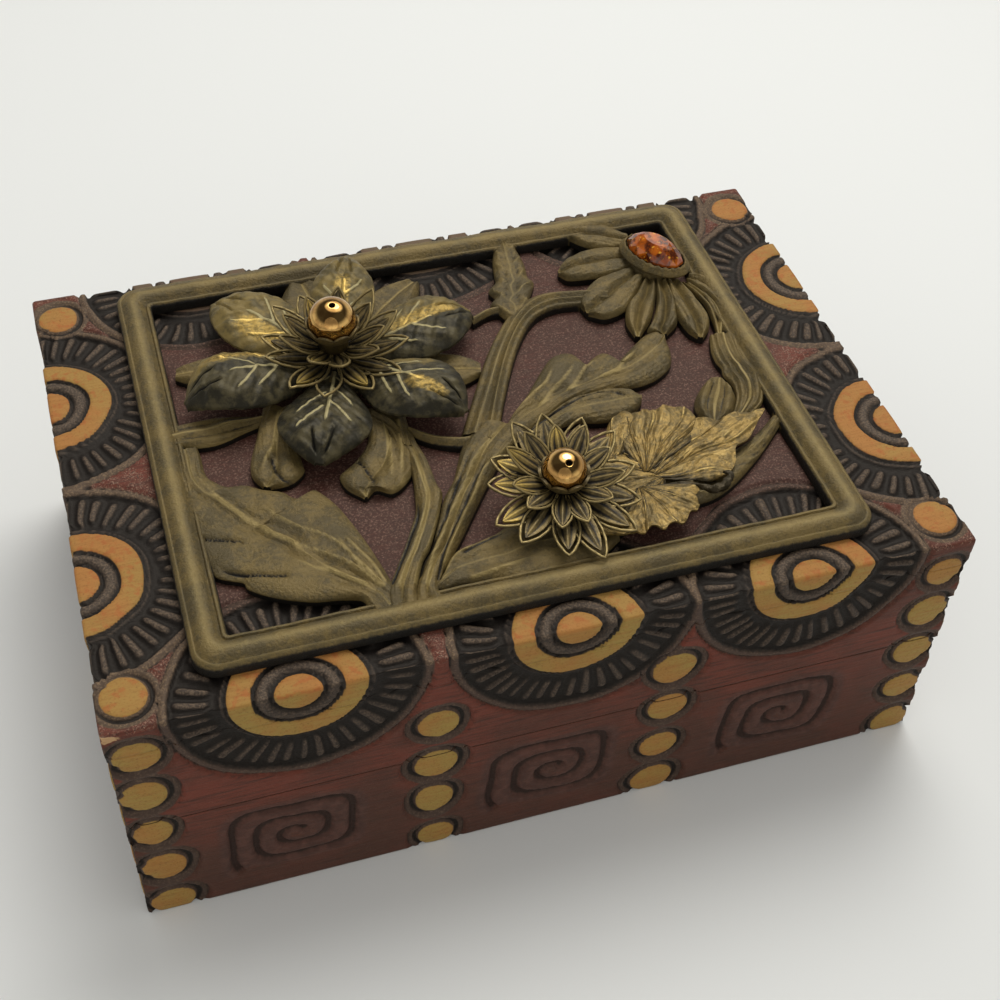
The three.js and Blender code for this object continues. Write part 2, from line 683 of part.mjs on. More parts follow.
const giltLeafEdges = {
  left: [
    [5, -23], [8, -15], [13, -10.6], [21, -11.8], [27.5, -12.6],
    [33, -13.4], [39.5, -15.8], [43, -17.2],
  ],
  right: [
    [6, -30], [10.5, -35], [16, -37.6], [21, -37.4], [26, -35.4],
    [31, -32], [36.5, -26.6], [43.2, -18.2],
  ],
};

function addGiltLeaf() {
  const [one, other] = [curveThrough(giltLeafEdges.left), curveThrough(giltLeafEdges.right)];
  const place = (u, v, lift) => {
    const [a, b] = [one.getPoint(u), other.getPoint(u)];
    const height = leafCrease * Math.sin(Math.PI * u) * (1 - (2 * v - 1) ** 2);
    return [a.x + (b.x - a.x) * v, a.y + (b.y - a.y) * v, giltLeafBase + height + lift];
  };
  const leaf = sheet((u, v) => place(u, v, sheetThickness), (u, v) => place(u, v, 0), 6, 18);
  addPiece("gilt_leaf", leaf.subtract(rivetHole(smallFlower, giltLeafBase)), finishes.brightGilt);
}

function addSmallFlower() {
  const slope = Math.tan(THREE.MathUtils.degToRad(smallTilt));
  const lean = (tier) =>
    tier.warp((point) => {
      point[2] += slope * (point[1] - smallFlower.y);
    });
  const lower = filigreeTier(smallLowerTier, smallFlower, smallLowerBase, 1.4);
  addPiece("small_flower_lower_filigree", lean(lower), finishes.agedGilt);
  const upper = filigreeTier(smallUpperTier, smallFlower, smallUpperBase, 1.3);
  addPiece("small_flower_upper_filigree", lean(upper), finishes.agedGilt);
  addBall("small_flower_ball", "small_flower_rivet", smallFlower, smallBallRadius, smallBallBase);
}

// Oval faceted stone in a plain rim
function addStone() {
  const base = plateBase + stoneFlower.seat + seatGap;
  const stretch = stoneHalfLength / stoneHalfWidth;
  const profile = [[0, 0], [0.82, 0], [1, 0.3], [0.74, 0.78], [0.4, 1], [0, 1]].map(
    ([r, h]) => new THREE.Vector2(r * stoneHalfWidth, h * stoneHeight),
  );
  const gem = new THREE.LatheGeometry(profile, 10).rotateX(Math.PI / 2).scale(1, stretch, 1);
  addPiece("amber_stone", solid(gem.translate(stoneFlower.x, stoneFlower.y, base)), finishes.amber);
  const inner = stoneHalfWidth + seatGap;
  const outer = inner + settingWall;
  const rim = new THREE.Shape().absellipse(0, 0, outer, inner * stretch + settingWall, 0, 2 * Math.PI);
  rim.holes.push(new THREE.Path().absellipse(0, 0, inner, inner * stretch, 0, 2 * Math.PI));
  const options = { depth: settingHeight, bevelEnabled: false, curveSegments: 14 };
  const setting = new THREE.ExtrudeGeometry(rim, options).translate(stoneFlower.x, stoneFlower.y, base);
  addPiece("stone_setting", solid(setting), finishes.castBrass);
}

addBoards();
addHinge("left", hingeX[0]);
addHinge("right", hingeX[1]);
addPlate();
addLargeFlower();
addGiltLeaf();
addSmallFlower();
addStone();

export default box;
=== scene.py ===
import json
import math

import bpy
import numpy as np
from mathutils import Matrix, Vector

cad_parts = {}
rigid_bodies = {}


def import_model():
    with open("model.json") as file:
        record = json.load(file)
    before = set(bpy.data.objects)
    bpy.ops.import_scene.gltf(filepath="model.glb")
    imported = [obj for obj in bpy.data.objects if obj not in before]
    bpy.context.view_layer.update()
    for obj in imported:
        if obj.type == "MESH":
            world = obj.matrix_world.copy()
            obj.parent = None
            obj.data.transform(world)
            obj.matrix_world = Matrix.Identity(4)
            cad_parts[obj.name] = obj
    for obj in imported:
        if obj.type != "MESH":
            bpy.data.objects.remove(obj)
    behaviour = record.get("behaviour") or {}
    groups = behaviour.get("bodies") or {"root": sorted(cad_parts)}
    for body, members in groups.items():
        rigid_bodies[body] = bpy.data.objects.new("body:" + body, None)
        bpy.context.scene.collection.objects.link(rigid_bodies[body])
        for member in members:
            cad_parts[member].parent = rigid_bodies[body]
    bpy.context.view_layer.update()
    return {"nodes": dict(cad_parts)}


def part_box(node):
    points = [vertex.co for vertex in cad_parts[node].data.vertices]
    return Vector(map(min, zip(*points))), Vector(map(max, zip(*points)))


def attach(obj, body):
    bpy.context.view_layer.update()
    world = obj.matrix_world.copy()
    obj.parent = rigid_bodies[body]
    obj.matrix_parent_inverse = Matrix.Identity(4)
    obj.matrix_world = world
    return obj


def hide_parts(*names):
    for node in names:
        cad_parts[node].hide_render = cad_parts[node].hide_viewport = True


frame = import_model()
print("frame loaded, nodes:", len(frame["nodes"]))

# Shapes below are worked out in millimetres and put into the meshes in metres
mm = 0.001


def corners(node):
    low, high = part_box(node)
    return np.array(low) / mm, np.array(high) / mm


# Node trees. A wire is a node's output, and arithmetic on it adds Math nodes.
class Wire:
    def __init__(self, tree, socket):
        self.tree, self.socket = tree, socket

    def calc(self, operation, first, second=0.0):
        return node(self.tree, "Math", {0: first, 1: second}, operation=operation)

    def __add__(self, other):
        return self.calc("ADD", self, other)

    def __sub__(self, other):
        return self.calc("SUBTRACT", self, other)

    def __rsub__(self, other):
        return self.calc("SUBTRACT", other, self)

    def __mul__(self, other):
        return self.calc("MULTIPLY", self, other)

    def __abs__(self):
        return self.calc("ABSOLUTE", self)


def put(value, socket):  # wires are linked, plain values are set
    if isinstance(value, Wire):
        value.tree.links.new(value.socket, socket)
    else:
        socket.default_value = value


def node(tree, kind, inputs=None, out=0, **settings):
    made = tree.nodes.new("ShaderNode" + kind)
    for key, value in settings.items():
        setattr(made, key, value)
    for key, value in (inputs or {}).items():
        put(value, made.inputs[key])
    return None if out is None else Wire(tree, made.outputs[out])


def mix(factor, first, second):
    return node(factor.tree, "Mix", {0: factor, 6: first, 7: second}, 2, data_type="RGBA")


def fade(value, low, high):  # 0 below low, 1 above high, smooth between
    inputs = {"Value": value, "From Min": low, "From Max": high}
    return node(value.tree, "MapRange", inputs, interpolation_type="SMOOTHSTEP")


def place(tree, stretch=(1, 1, 1)):  # object coordinates in millimetres, stretched
    return node(tree, "Mapping", {"Vector": node(tree, "TexCoord", out=3), "Scale": [s / mm for s in stretch]})


def noise(where, scale, detail=3.0, roughness=0.55):
    inputs = {"Vector": where, "Scale": scale, "Detail": detail, "Roughness": roughness}
    return node(where.tree, "TexNoise", inputs)


def attribute(tree, name):
    return node(tree, "Attribute", out=2, attribute_name=name)


def bump(height, strength, distance):
    return node(height.tree, "Bump", {"Height": height, "Strength": strength, "Distance": distance * mm})


def startTree(owner):
    owner.use_nodes = True
    owner.node_tree.nodes.clear()
    return owner.node_tree


def newMaterial(name):
    made = bpy.data.materials.new(name)
    return made, startTree(made)


def finishMaterial(tree, values):
    shader = node(tree, "BsdfPrincipled", values)
    node(tree, "OutputMaterial", {0: shader}, None)


def linear(red, green, blue):  # a colour read, 0 to 255, as the renderer's own values
    c = np.array([red, green, blue]) / 255
    return [*np.where(c < 0.04045, c / 12.92, ((c + 0.055) / 1.055) ** 2.4).tolist(), 1.0]


# Meshes. A surface is a grid of points; faces are index arrays of any width.
def circle(count):  # angles once round
    return np.linspace(0, 2 * math.pi, count, endpoint=False)


def around(centre, r, turn, z):  # a grid of points at radius r about an upright axis
    return np.dstack([centre[0] + r * np.cos(turn), centre[1] + r * np.sin(turn), z + 0 * turn])


def unit(x):
    return np.clip(x, 0, 1)


def columnsOf(table):  # the columns of a small table, each as a column of its own
    return (column[:, None] for column in np.array(table, float).T)


def gridFaces(rows, columns):
    a = np.arange(rows - 1)[:, None] * columns + np.arange(columns - 1)
    return np.stack([a, a + 1, a + columns + 1, a + columns], -1).reshape(-1, 4)


def signedVolume(points, faces):
    a, b, c, d = (points[faces[:, k]] for k in range(4))
    return float((np.einsum("ij,ij->i", a, np.cross(b, c)) + np.einsum("ij,ij->i", a, np.cross(c, d))).sum())


def rimOf(rows, columns):  # the grid's border, once round
    index = np.arange(rows * columns).reshape(rows, columns)
    return np.concatenate([index[:, 0], index[-1, 1:], index[-2::-1, -1], index[0, -2:0:-1]])


# A shell is a dictionary of points, face arrays and fields. Fields are numbers kept at the points for the finishes.
def sheetShell(top, under, **fields):  # two grids, one above the other, with walls between their rims
    rows, columns = top.shape[:2]
    points = np.concatenate([top.reshape(-1, 3), under.reshape(-1, 3)])
    upper, rim, below = gridFaces(rows, columns), rimOf(rows, columns), rows * columns
    after = np.roll(rim, -1)
    faces = np.concatenate([upper, upper[:, ::-1] + below, np.stack([rim, after, after + below, rim + below], -1)])
    if signedVolume(points, faces) < 0:
        faces = faces[:, ::-1]
    spread = {k: np.tile(np.broadcast_to(v, (rows, columns)).ravel(), 2) for k, v in fields.items()}
    return {"points": points, "faces": [faces], "fields": spread}


def castShell(top, floor, **fields):  # a grid with upright walls down to a flat underside, which is one polygon
    rows, columns = top.shape[:2]
    rim = rimOf(rows, columns)
    neck = top.reshape(-1, 3)[rim] - (0, 0, 0.15)
    foot = neck * (1, 1, 0) + (0, 0, floor)
    middle, below = (rows * columns + k * len(rim) + np.arange(len(rim)) for k in (0, 1))
    walls = [np.stack([a, np.roll(a, -1), np.roll(b, -1), b], -1) for a, b in ((rim, middle), (middle, below))]
    faces = [gridFaces(rows, columns), *walls, below[None]]
    a, b, c = (top.reshape(-1, 3)[faces[0][:, k]] for k in range(3))
    if np.cross(b - a, c - a)[:, 2].sum() < 0:
        faces = [f[:, ::-1] for f in faces]
    # the neck and foot rings are marked fully dark: the upright walls are painted dark as shade
    spread = {k: np.concatenate([np.broadcast_to(v, (rows, columns)).ravel(), [k == "hollow"] * (2 * len(rim))])
              for k, v in fields.items()}
    return {"points": np.concatenate([top.reshape(-1, 3), neck, foot]), "faces": faces, "fields": spread}


# Rings of points joined in order, and the last to the first or with a polygon at each end
def ringShell(rings, closed, **fields):
    rows, columns = rings.shape[:2]
    points = rings.reshape(-1, 3)
    a = np.arange(rows * columns).reshape(rows, columns)
    b = np.roll(a, -1, axis=1)
    if closed:
        faces = [np.stack([a, b, np.roll(b, -1, axis=0), np.roll(a, -1, axis=0)], -1).reshape(-1, 4)]
    else:
        faces = [np.stack([a[:-1], b[:-1], b[1:], a[1:]], -1).reshape(-1, 4), a[:1, ::-1], a[-1:]]
    if signedVolume(points - points.mean(0), faces[0]) < 0:
        faces = [f[:, ::-1] for f in faces]
    spread = {k: np.broadcast_to(v, (rows, columns)).ravel() for k, v in fields.items()}
    return {"points": points, "faces": faces, "fields": spread}


def turned(profile, count, centre, **fields):  # a profile of radius and height carried round an upright axis
    r, z = columnsOf(profile)
    return ringShell(around(centre, r, circle(count), z), False, **fields)


def buildMesh(name, points, groups, materials, fields=None):
    # groups is a list of (faces, material number, smooth); faces is an index array or a list of polygons
    mesh = bpy.data.meshes.new(name)
    mesh.vertices.add(len(points))
    mesh.vertices.foreach_set("co", (np.asarray(points) * mm).astype(np.float32).ravel())
    loops, sizes, slots, smooth = [], [], [], []
    for faces, number, rounded in groups:
        flat = [np.asarray(faces).ravel()] if isinstance(faces, np.ndarray) else [np.asarray(f) for f in faces]
        counts = [faces.shape[1]] * len(faces) if isinstance(faces, np.ndarray) else [len(f) for f in faces]
        loops += flat
        sizes += counts
        slots += [number] * len(counts)
        smooth += [rounded] * len(counts)
    loops = np.concatenate(loops).astype(np.int32)
    mesh.loops.add(len(loops))
    mesh.loops.foreach_set("vertex_index", loops)
    mesh.polygons.add(len(sizes))
    mesh.polygons.foreach_set("loop_start", np.concatenate([[0], np.cumsum(sizes)[:-1]]).astype(np.int32))
    mesh.polygons.foreach_set("material_index", np.array(slots, np.int32))
    mesh.polygons.foreach_set("use_smooth", np.array(smooth, bool))
    for key, values in (fields or {}).items():
        mesh.attributes.new(key, "FLOAT", "POINT").data.foreach_set("value", np.asarray(values, np.float32))
    for material in materials:
        mesh.materials.append(material)
    mesh.update(calc_edges=True)
    mesh.validate()
    return mesh


def shellMesh(name, shell, materials=()):
    groups = [(faces, 0, True) for faces in shell["faces"]]
    return buildMesh(name, shell["points"], groups, materials, shell["fields"])


# Melts closed shells into one solid. Fields go in one higher, so a 0 that comes out marks a new point in the
# corner between two shells; there the dark field is set to seam, painted shade in the corner.
def melt(name, shells, material, sharpAbove=38, cuts=(), seam=1.0):
    keys = sorted({k for s in shells for k in s["fields"]} | {"hollow"})
    pools, made = {}, []
    for kind, group in (("UNION", shells), ("DIFFERENCE", list(cuts))):
        pools[kind] = bpy.data.collections.new(name + kind)
        for k, shell in enumerate(group):
            full = {key: shell["fields"].get(key, np.zeros(len(shell["points"]))) + 1 for key in keys}
            made.append(bpy.data.objects.new(f"{name}{kind}{k}", shellMesh(name, {**shell, "fields": full})))
            (pools[kind] if len(made) > 1 else bpy.context.scene.collection).objects.link(made[-1])
    for kind, pool in pools.items():
        if len(pool.objects):
            join = made[0].modifiers.new(kind, "BOOLEAN")
            join.operation, join.solver, join.operand_type, join.collection = kind, "MANIFOLD", "COLLECTION", pool
    graph = bpy.context.evaluated_depsgraph_get()
    mesh = bpy.data.meshes.new_from_object(made[0].evaluated_get(graph), depsgraph=graph)
    for part in made:
        bpy.data.objects.remove(part)
    for pool in pools.values():
        bpy.data.collections.remove(pool)
    for key in keys:
        values = np.zeros(len(mesh.vertices), np.float32)
        mesh.attributes[key].data.foreach_get("value", values)
        corner = seam if key == "hollow" else 0.0
        mesh.attributes[key].data.foreach_set("value", np.where(values < 0.5, corner, values - 1).astype(np.float32))
    mesh.name = name
    mesh.materials.clear()
    mesh.materials.append(material)
    mesh.polygons.foreach_set("use_smooth", np.ones(len(mesh.polygons), bool))
    mesh.set_sharp_from_angle(angle=math.radians(sharpAbove))
    return mesh


def addPiece(part, word, mesh, body):  # stands in for the CAD node of the same name
    made = bpy.data.objects.new(f"{part}_{word}", mesh)
    bpy.context.scene.collection.objects.link(made)
    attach(made, body)
    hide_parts(part)


def repaint(part, finish):  # a CAD node that stays as it is
    frame["nodes"][part].data.materials.clear()
    frame["nodes"][part].data.materials.append(finish)


# Camera at the photograph's viewpoint
view = {
    "place": (-57.204, -179.337, 232.907),
    "right": (0.95508, -0.29446, 0.03345),
    "up": (0.19432, 0.70745, 0.67953),
    "back": (-0.22376, -0.6425, 0.73289),
    "lens": 54.52,
    "sensor": 36,
    "nearest": 0.01,
}


def addCamera():
    data = bpy.data.cameras.new("camera")
    data.lens = view["lens"]
    data.sensor_width = view["sensor"]
    data.clip_start = view["nearest"]
    camera = bpy.data.objects.new("camera", data)
    bpy.context.scene.collection.objects.link(camera)
    turn = Matrix((view["right"], view["up"], view["back"])).transposed().to_4x4()
    camera.matrix_world = Matrix.Translation([v * mm for v in view["place"]]) @ turn
    bpy.context.scene.camera = camera


# Pale sheet under the box, a broad soft lamp high up at the back right and a weaker one in front. Reflections see
# a pale horizon, a dark ceiling and a bright round window about the first lamp.
stageLook = {
    "floorColour": linear(226, 226, 221),
    "worldSeen": linear(228, 228, 225),
    "ceilingSeen": linear(78, 77, 75),
    "windowSeen": (1.7, 1.66, 1.55, 1),
    "windowEdge": (0.8, 0.9),
    "worldLight": 0.56,
    "reach": 3000,
    "clear": 0.02,
    "key": {"place": (170, 250, 640), "size": 420, "power": 2.75},
    "fill": {"place": (-200, -620, 330), "size": 900, "power": 0.7},
}


def addLamp(name, place, size, power):
    data = bpy.data.lights.new(name, "AREA")
    data.shape = "DISK"
    data.size = size * mm
    data.energy = power
    lamp = bpy.data.objects.new(name, data)
    bpy.context.scene.collection.objects.link(lamp)
    at = np.array(place) * mm
    lamp.location = at
    back = at / np.linalg.norm(at)
    side = np.cross((0, 0, 1), back)
    side /= np.linalg.norm(side)
    lamp.rotation_euler = Matrix((side, np.cross(back, side), back)).transposed().to_euler()


def addStage():
    world = bpy.data.worlds.new("room")
    bpy.context.scene.world = world
    tree = startTree(world)
    path = tree.nodes.new("ShaderNodeLightPath")
    camera, glassy, glossy = (Wire(tree, path.outputs[f"Is {k} Ray"]) for k in ("Camera", "Transmission", "Glossy"))
    seen = camera.calc("MAXIMUM", camera.calc("MAXIMUM", camera, glassy), glossy)
    way = node(tree, "TexCoord")
    toLamp = np.array(stageLook["key"]["place"]) / np.linalg.norm(stageLook["key"]["place"])
    facing = node(tree, "VectorMath", {0: way, 1: toLamp.tolist()}, 1, operation="DOT_PRODUCT")
    up = node(tree, "SeparateXYZ", {"Vector": way}, 2)
    room = mix(fade(up, 0.1, 0.5), stageLook["worldSeen"], stageLook["ceilingSeen"])
    room = mix(fade(facing, *stageLook["windowEdge"]), room, stageLook["windowSeen"])
    paint = node(tree, "Background", {"Color": mix(camera, room, stageLook["worldSeen"])})
    light = node(tree, "Background", {"Color": (1, 1, 1, 1), "Strength": stageLook["worldLight"]})
    node(tree, "OutputWorld", {0: node(tree, "MixShader", {0: seen, 1: light, 2: paint})}, None)
    paper, tree = newMaterial("paleSheet")
    finishMaterial(tree, {"Base Color": stageLook["floorColour"], "Roughness": 0.8})
    reach, under = stageLook["reach"], -stageLook["clear"]
    points = [(-reach, -reach, under), (reach, -reach, under), (reach, reach, under), (-reach, reach, under)]
    floor = bpy.data.objects.new("floor", buildMesh("floor", points, [(np.array([[0, 1, 2, 3]]), 0, False)], [paper]))
    bpy.context.scene.collection.objects.link(floor)
    addLamp("keyLamp", **stageLook["key"])
    addLamp("fillLamp", **stageLook["fill"])
    bpy.context.scene.view_settings.view_transform = "Standard"


# The wooden box. Its size comes from the frame.
boxLow, boxHigh = np.minimum(corners("lid_top_panel")[0], corners("base_front_wall")[0]), corners("lid_top_panel")[1]
wood = {
    "half": (boxHigh - boxLow)[:2] / 2,
    "height": boxHigh[2],
    "seam": corners("base_front_wall")[1][2],
    "sawCut": 0.16,
    "lidInside": corners("lid_front_wall")[1][2],
    "inside": np.array([corners("base_right_wall")[0][0], corners("base_back_wall")[0][1]]),
    "arris": 0.65,
    "carvedStep": 0.42,
    "fineStep": 0.38,
    "coarseStep": 0.55,
    "fineBorder": 24,
    "spread": 5.0,
    "endBlock": 3.0,
    "sawn": (linear(96, 66, 46), linear(74, 50, 36), linear(56, 38, 28)),
    "chip": {"inset": 0.3, "drop": 1.2, "size": (2.7, 2.2, 1.3), "depth": 0.9},
}

# Chip carving. Rosettes sit on the top arrises, dots in columns on the sides, squared spirals between them.
carving = {
    "frontRosettes": (-41.3, 2.0, 41.3),
    "sideRosettes": (-20.25, 20.25),
    "rosetteDepth": (  # depth over the radius
        [0, 3.4, 3.7, 4.1, 4.5, 5.3, 6.2, 6.55, 6.9, 7.1, 10.4, 10.6, 10.85, 11.15, 11.8, 12.4, 18.4, 18.9, 19.2,
         19.7, 20.1, 20.45, 20.8, 21.1],
        [0.05, 0.1, 0.2, 1.1, 0.2, 0.08, 0.2, 1.15, 0.3, 0.08, 0.08, 0.35, 0.95, 0.35, 0.12, 0.3, 0.3, 0.5, 0.18,
         0.1, 0.25, 0.85, 0.12, 0],
    ),
    "rosetteBand": (  # how grey the ridges are over the radius
        [4.4, 4.8, 6.0, 6.4, 11.1, 11.5, 18.4, 18.9],
        [0, 1, 1, 0, 0, 1, 1, 0],
    ),
    "bars": 40,
    "bandDepth": 0.75,
    "barHeight": (0.65, 0.9),
    "barWidth": (0.33, 0.46),
    "barReach": (11.7, 18.9),
    "barUneven": 1.4,
    "dot": 3.5,
    "dotGroove": (4.15, 0.8, 1.0),
    "dotRim": (5.45, 0.5, 0.75),
    "cornerInset": {"long": 4.2, "short": 2.6},
    "cornerHeights": {"long": (44.8, 35, 24, 13.6, 2.8), "short": (39.8, 29.4, 18.8, 8.2)},
    "middleColumns": {"long": (-20.5, 19.2), "short": (0.0,)},
    "middleHeights": (35.5, 24.7, 14, 3.2),
    "topDots": 6.4,
    "topDotClear": 5.0,
    "spirals": {"long": (-43.7, 0.0, 42.0), "short": (-22.0, 22.0)},
    "spiralHeight": 14.4,
    "spiralHalf": (11.4, 9.5),
    "spiralPitch": 3.7,
    "spiralStart": 224,
    "spiralTurns": 2.55,
    "spiralGroove": (0.9, 0.95),
}


def stepsBetween(low, high, fine, coarse, border):  # positions, close together near both ends
    if high - low <= 2 * border:
        return np.linspace(low, high, int(round((high - low) / fine)) + 1)
    edge = np.linspace(low, low + border, int(round(border / fine)) + 1)
    middle = np.linspace(low + border, high - border, int(round((high - low - 2 * border) / coarse)) + 1)
    return np.concatenate([edge, middle[1:-1], (low + high) - edge[::-1]])


def waver(a, b, seed):  # a slow wandering of hand-held tools, in mm
    return 0.22 * np.sin(0.21 * a + 1.7 * seed) * np.cos(0.17 * b + seed) + 0.12 * np.sin(0.53 * b + 0.4 * a + seed)


def bell(x):  # 1 at 0, smoothly down to 0 at 1 and beyond
    return np.where(np.abs(x) < 1, (1 - np.minimum(1, x * x)) ** 1.5, 0)


# Fields of a carved face. cut is the depth in mm; ochre, burnt and dusk are how far inside such a patch a point
# lies, and halo the same for the rim round a dot; band is 1 where the ridges between cuts are grey; raw is the bare
# wood of a chip.
blank = {"cut": 0.0, "ochre": -9.0, "burnt": -9.0, "halo": -9.0, "dusk": -9.0, "band": 0.0, "raw": -9.0}


def startFields(count):
    return {key: np.full(count, value) for key, value in blank.items()}


def lay(found, over=None, **motif):  # the larger value wins; a dot clears what is under it first
    for key in found:
        if over is not None:
            found[key] = np.where(over, blank[key], found[key])
        if key in motif:
            found[key] = np.maximum(found[key], motif[key])


def scatter(number, seed):  # an even spread from 0 to 1, the same for the same number
    return (np.sin(number * 12.9898 + seed * 78.233) * 43758.5453) % 1


# Depth is a ring profile over the radius. Raised bars stand in the sunk band: the angle, counted in bars, is split
# into whole ones, each with a height, width and length of its own, and a bell across
def rosetteCut(r, turn, seed):
    phase = turn / (2 * math.pi) * carving["bars"] + 0.5 + 0.08 * np.sin(3 * turn + seed) + 0.03 * (r - 15)
    lap = np.floor(phase)
    across = phase - lap - 0.5 + 0.16 * (scatter(lap, seed) - 0.5)
    width, high = (a + (b - a) * scatter(lap, seed + n) for n, (a, b) in
                   ((1, carving["barWidth"]), (2, carving["barHeight"])))
    near, far = carving["barReach"]
    near = near + carving["barUneven"] * scatter(lap, seed + 3)
    far = far - 0.5 * carving["barUneven"] * scatter(lap, seed + 4)
    bar = high * (unit((r - near) / 1.2) * unit((far - r) / 1.2)) ** 0.6 * bell(across / width)
    sunk = carving["bandDepth"] * unit((r - 11.2) / 0.5) * unit((19.1 - r) / 0.5)
    return {
        "cut": np.interp(r, *carving["rosetteDepth"]) + sunk - bar,
        "ochre": np.maximum(3.65 - r, np.minimum(r - 6.95, 10.5 - r)),
        "burnt": 19.2 - r,
        "halo": 20.6 - r,
        "band": np.interp(r, *carving["rosetteBand"]),
    }


# A low dome, then a ring groove that is deepest at the left and right of the dot, a rim and a shallow outer line
def dotCut(r, turn, sided=True):
    centre, width, deep = carving["dotGroove"]
    side = 0.4 + 0.6 * np.abs(np.cos(turn)) ** 0.7 if sided else 0.8 + 0.2 * np.cos(turn + 0.8)
    dome = 0.14 * (r / carving["dot"]) ** 2 * (r < carving["dot"])
    rim, rimWidth, rimDeep = carving["dotRim"]
    line = rimDeep * (0.5 + 0.5 * np.cos(2 * turn) if sided else 0.5) * bell((r - rim) / rimWidth)
    return {"cut": deep * side * bell((r - centre) / width) + dome + line, "ochre": carving["dot"] - r,
            "halo": rim + 0.1 - r}


# Distance to a squared spiral: turns counted inward from a superellipse, less the angle run so far
def spiralCut(a, b):
    halfA, halfB = carving["spiralHalf"]
    x, y = a / halfA, b / halfB
    rough = unit(np.hypot(x, y))
    power = 2 + 2.6 * rough ** 1.5
    ring = (np.abs(x) ** power + np.abs(y) ** power) ** (1 / power)
    run = (math.radians(carving["spiralStart"]) - np.arctan2(y, x)) % (2 * math.pi) / (2 * math.pi)
    count = (1 - ring) * (halfA + halfB) / 2 / carving["spiralPitch"] - run
    lap = np.clip(np.round(count), 0, None)
    total = lap + run
    off = np.abs(count - lap) * carving["spiralPitch"] + 4 * np.clip(total - carving["spiralTurns"], 0, None)
    width, deep = carving["spiralGroove"]
    return {"cut": deep * bell(off / width), "burnt": 0.5 - off, "dusk": 2.3 - np.clip(off, 0, None)}


# Fields of an upright face; a runs along it and z is the height
def carvedSide(kind, a, z):
    mirror = -1 if kind == "back" else 1
    kind = "long" if kind == "back" else kind
    span = wood["half"][0] if kind == "long" else wood["half"][1]
    seed = 1.0 if kind == "long" else 2.0
    fadeIn = unit((wood["height"] - z) / 6)
    aw, zw = a + waver(a, z, seed) * fadeIn, z + waver(z, a, seed + 3) * fadeIn
    down = wood["height"] - zw
    centres = mirror * np.array(carving["frontRosettes"] if kind == "long" else carving["sideRosettes"])
    away = np.stack([np.hypot(aw - c, down) for c in centres])
    found = startFields(len(a))
    nearest = away.argmin(0)
    lay(found, **rosetteCut(away.min(0), np.arctan2(-down, aw - centres[nearest]), nearest + 5 * seed))
    for c in carving["spirals"][kind]:
        lay(found, **spiralCut(aw - c, zw - carving["spiralHeight"]))
    inset = carving["cornerInset"][kind]
    dots = [(c, h) for c in (inset - span, span - inset) for h in carving["cornerHeights"][kind]]
    dots += [(c, h) for c in carving["middleColumns"][kind] for h in carving["middleHeights"]]
    for k, (c, h) in enumerate(dots):
        x, y = aw - c - 0.3 * math.sin(5.1 * k), zw - h - 0.25 * math.cos(3.7 * k)
        r = np.hypot(x * (1 - 0.05 * math.sin(1.9 * k)), y) / (1 + 0.05 * math.sin(2.3 * k))
        lay(found, over=r < carving["dot"], **dotCut(r, np.arctan2(y, x)))
    return found


def carvedTop(x, y):  # fields of the lid's top
    halfX, halfY = wood["half"]
    fadeIn = unit(np.minimum(halfX - np.abs(x), halfY - np.abs(y)) / 6)
    xw, yw = x + waver(x, y, 5.0) * fadeIn, y + waver(y, x, 6.0) * fadeIn
    centres = [(c, s * halfY) for s in (-1, 1) for c in carving["frontRosettes"]]
    centres += [(s * halfX, c) for s in (-1, 1) for c in carving["sideRosettes"]]
    away = np.stack([np.hypot(xw - cx, yw - cy) for cx, cy in centres])
    nearest = away.argmin(0)
    picked = np.array(centres)[nearest]
    found = startFields(len(x))
    lay(found, **rosetteCut(away.min(0), np.arctan2(yw - picked[..., 1], xw - picked[..., 0]), nearest + 20))
    inset = (halfX - carving["cornerInset"]["long"], halfY - carving["topDots"])
    for sx in (-1, 1):
        for sy in (-1, 1):
            dx, dy = xw - sx * inset[0], yw - sy * inset[1]
            r = np.hypot(dx, dy)
            lay(found, over=r < carving["topDotClear"], **dotCut(r, np.arctan2(dy, dx), sided=False))
    return found


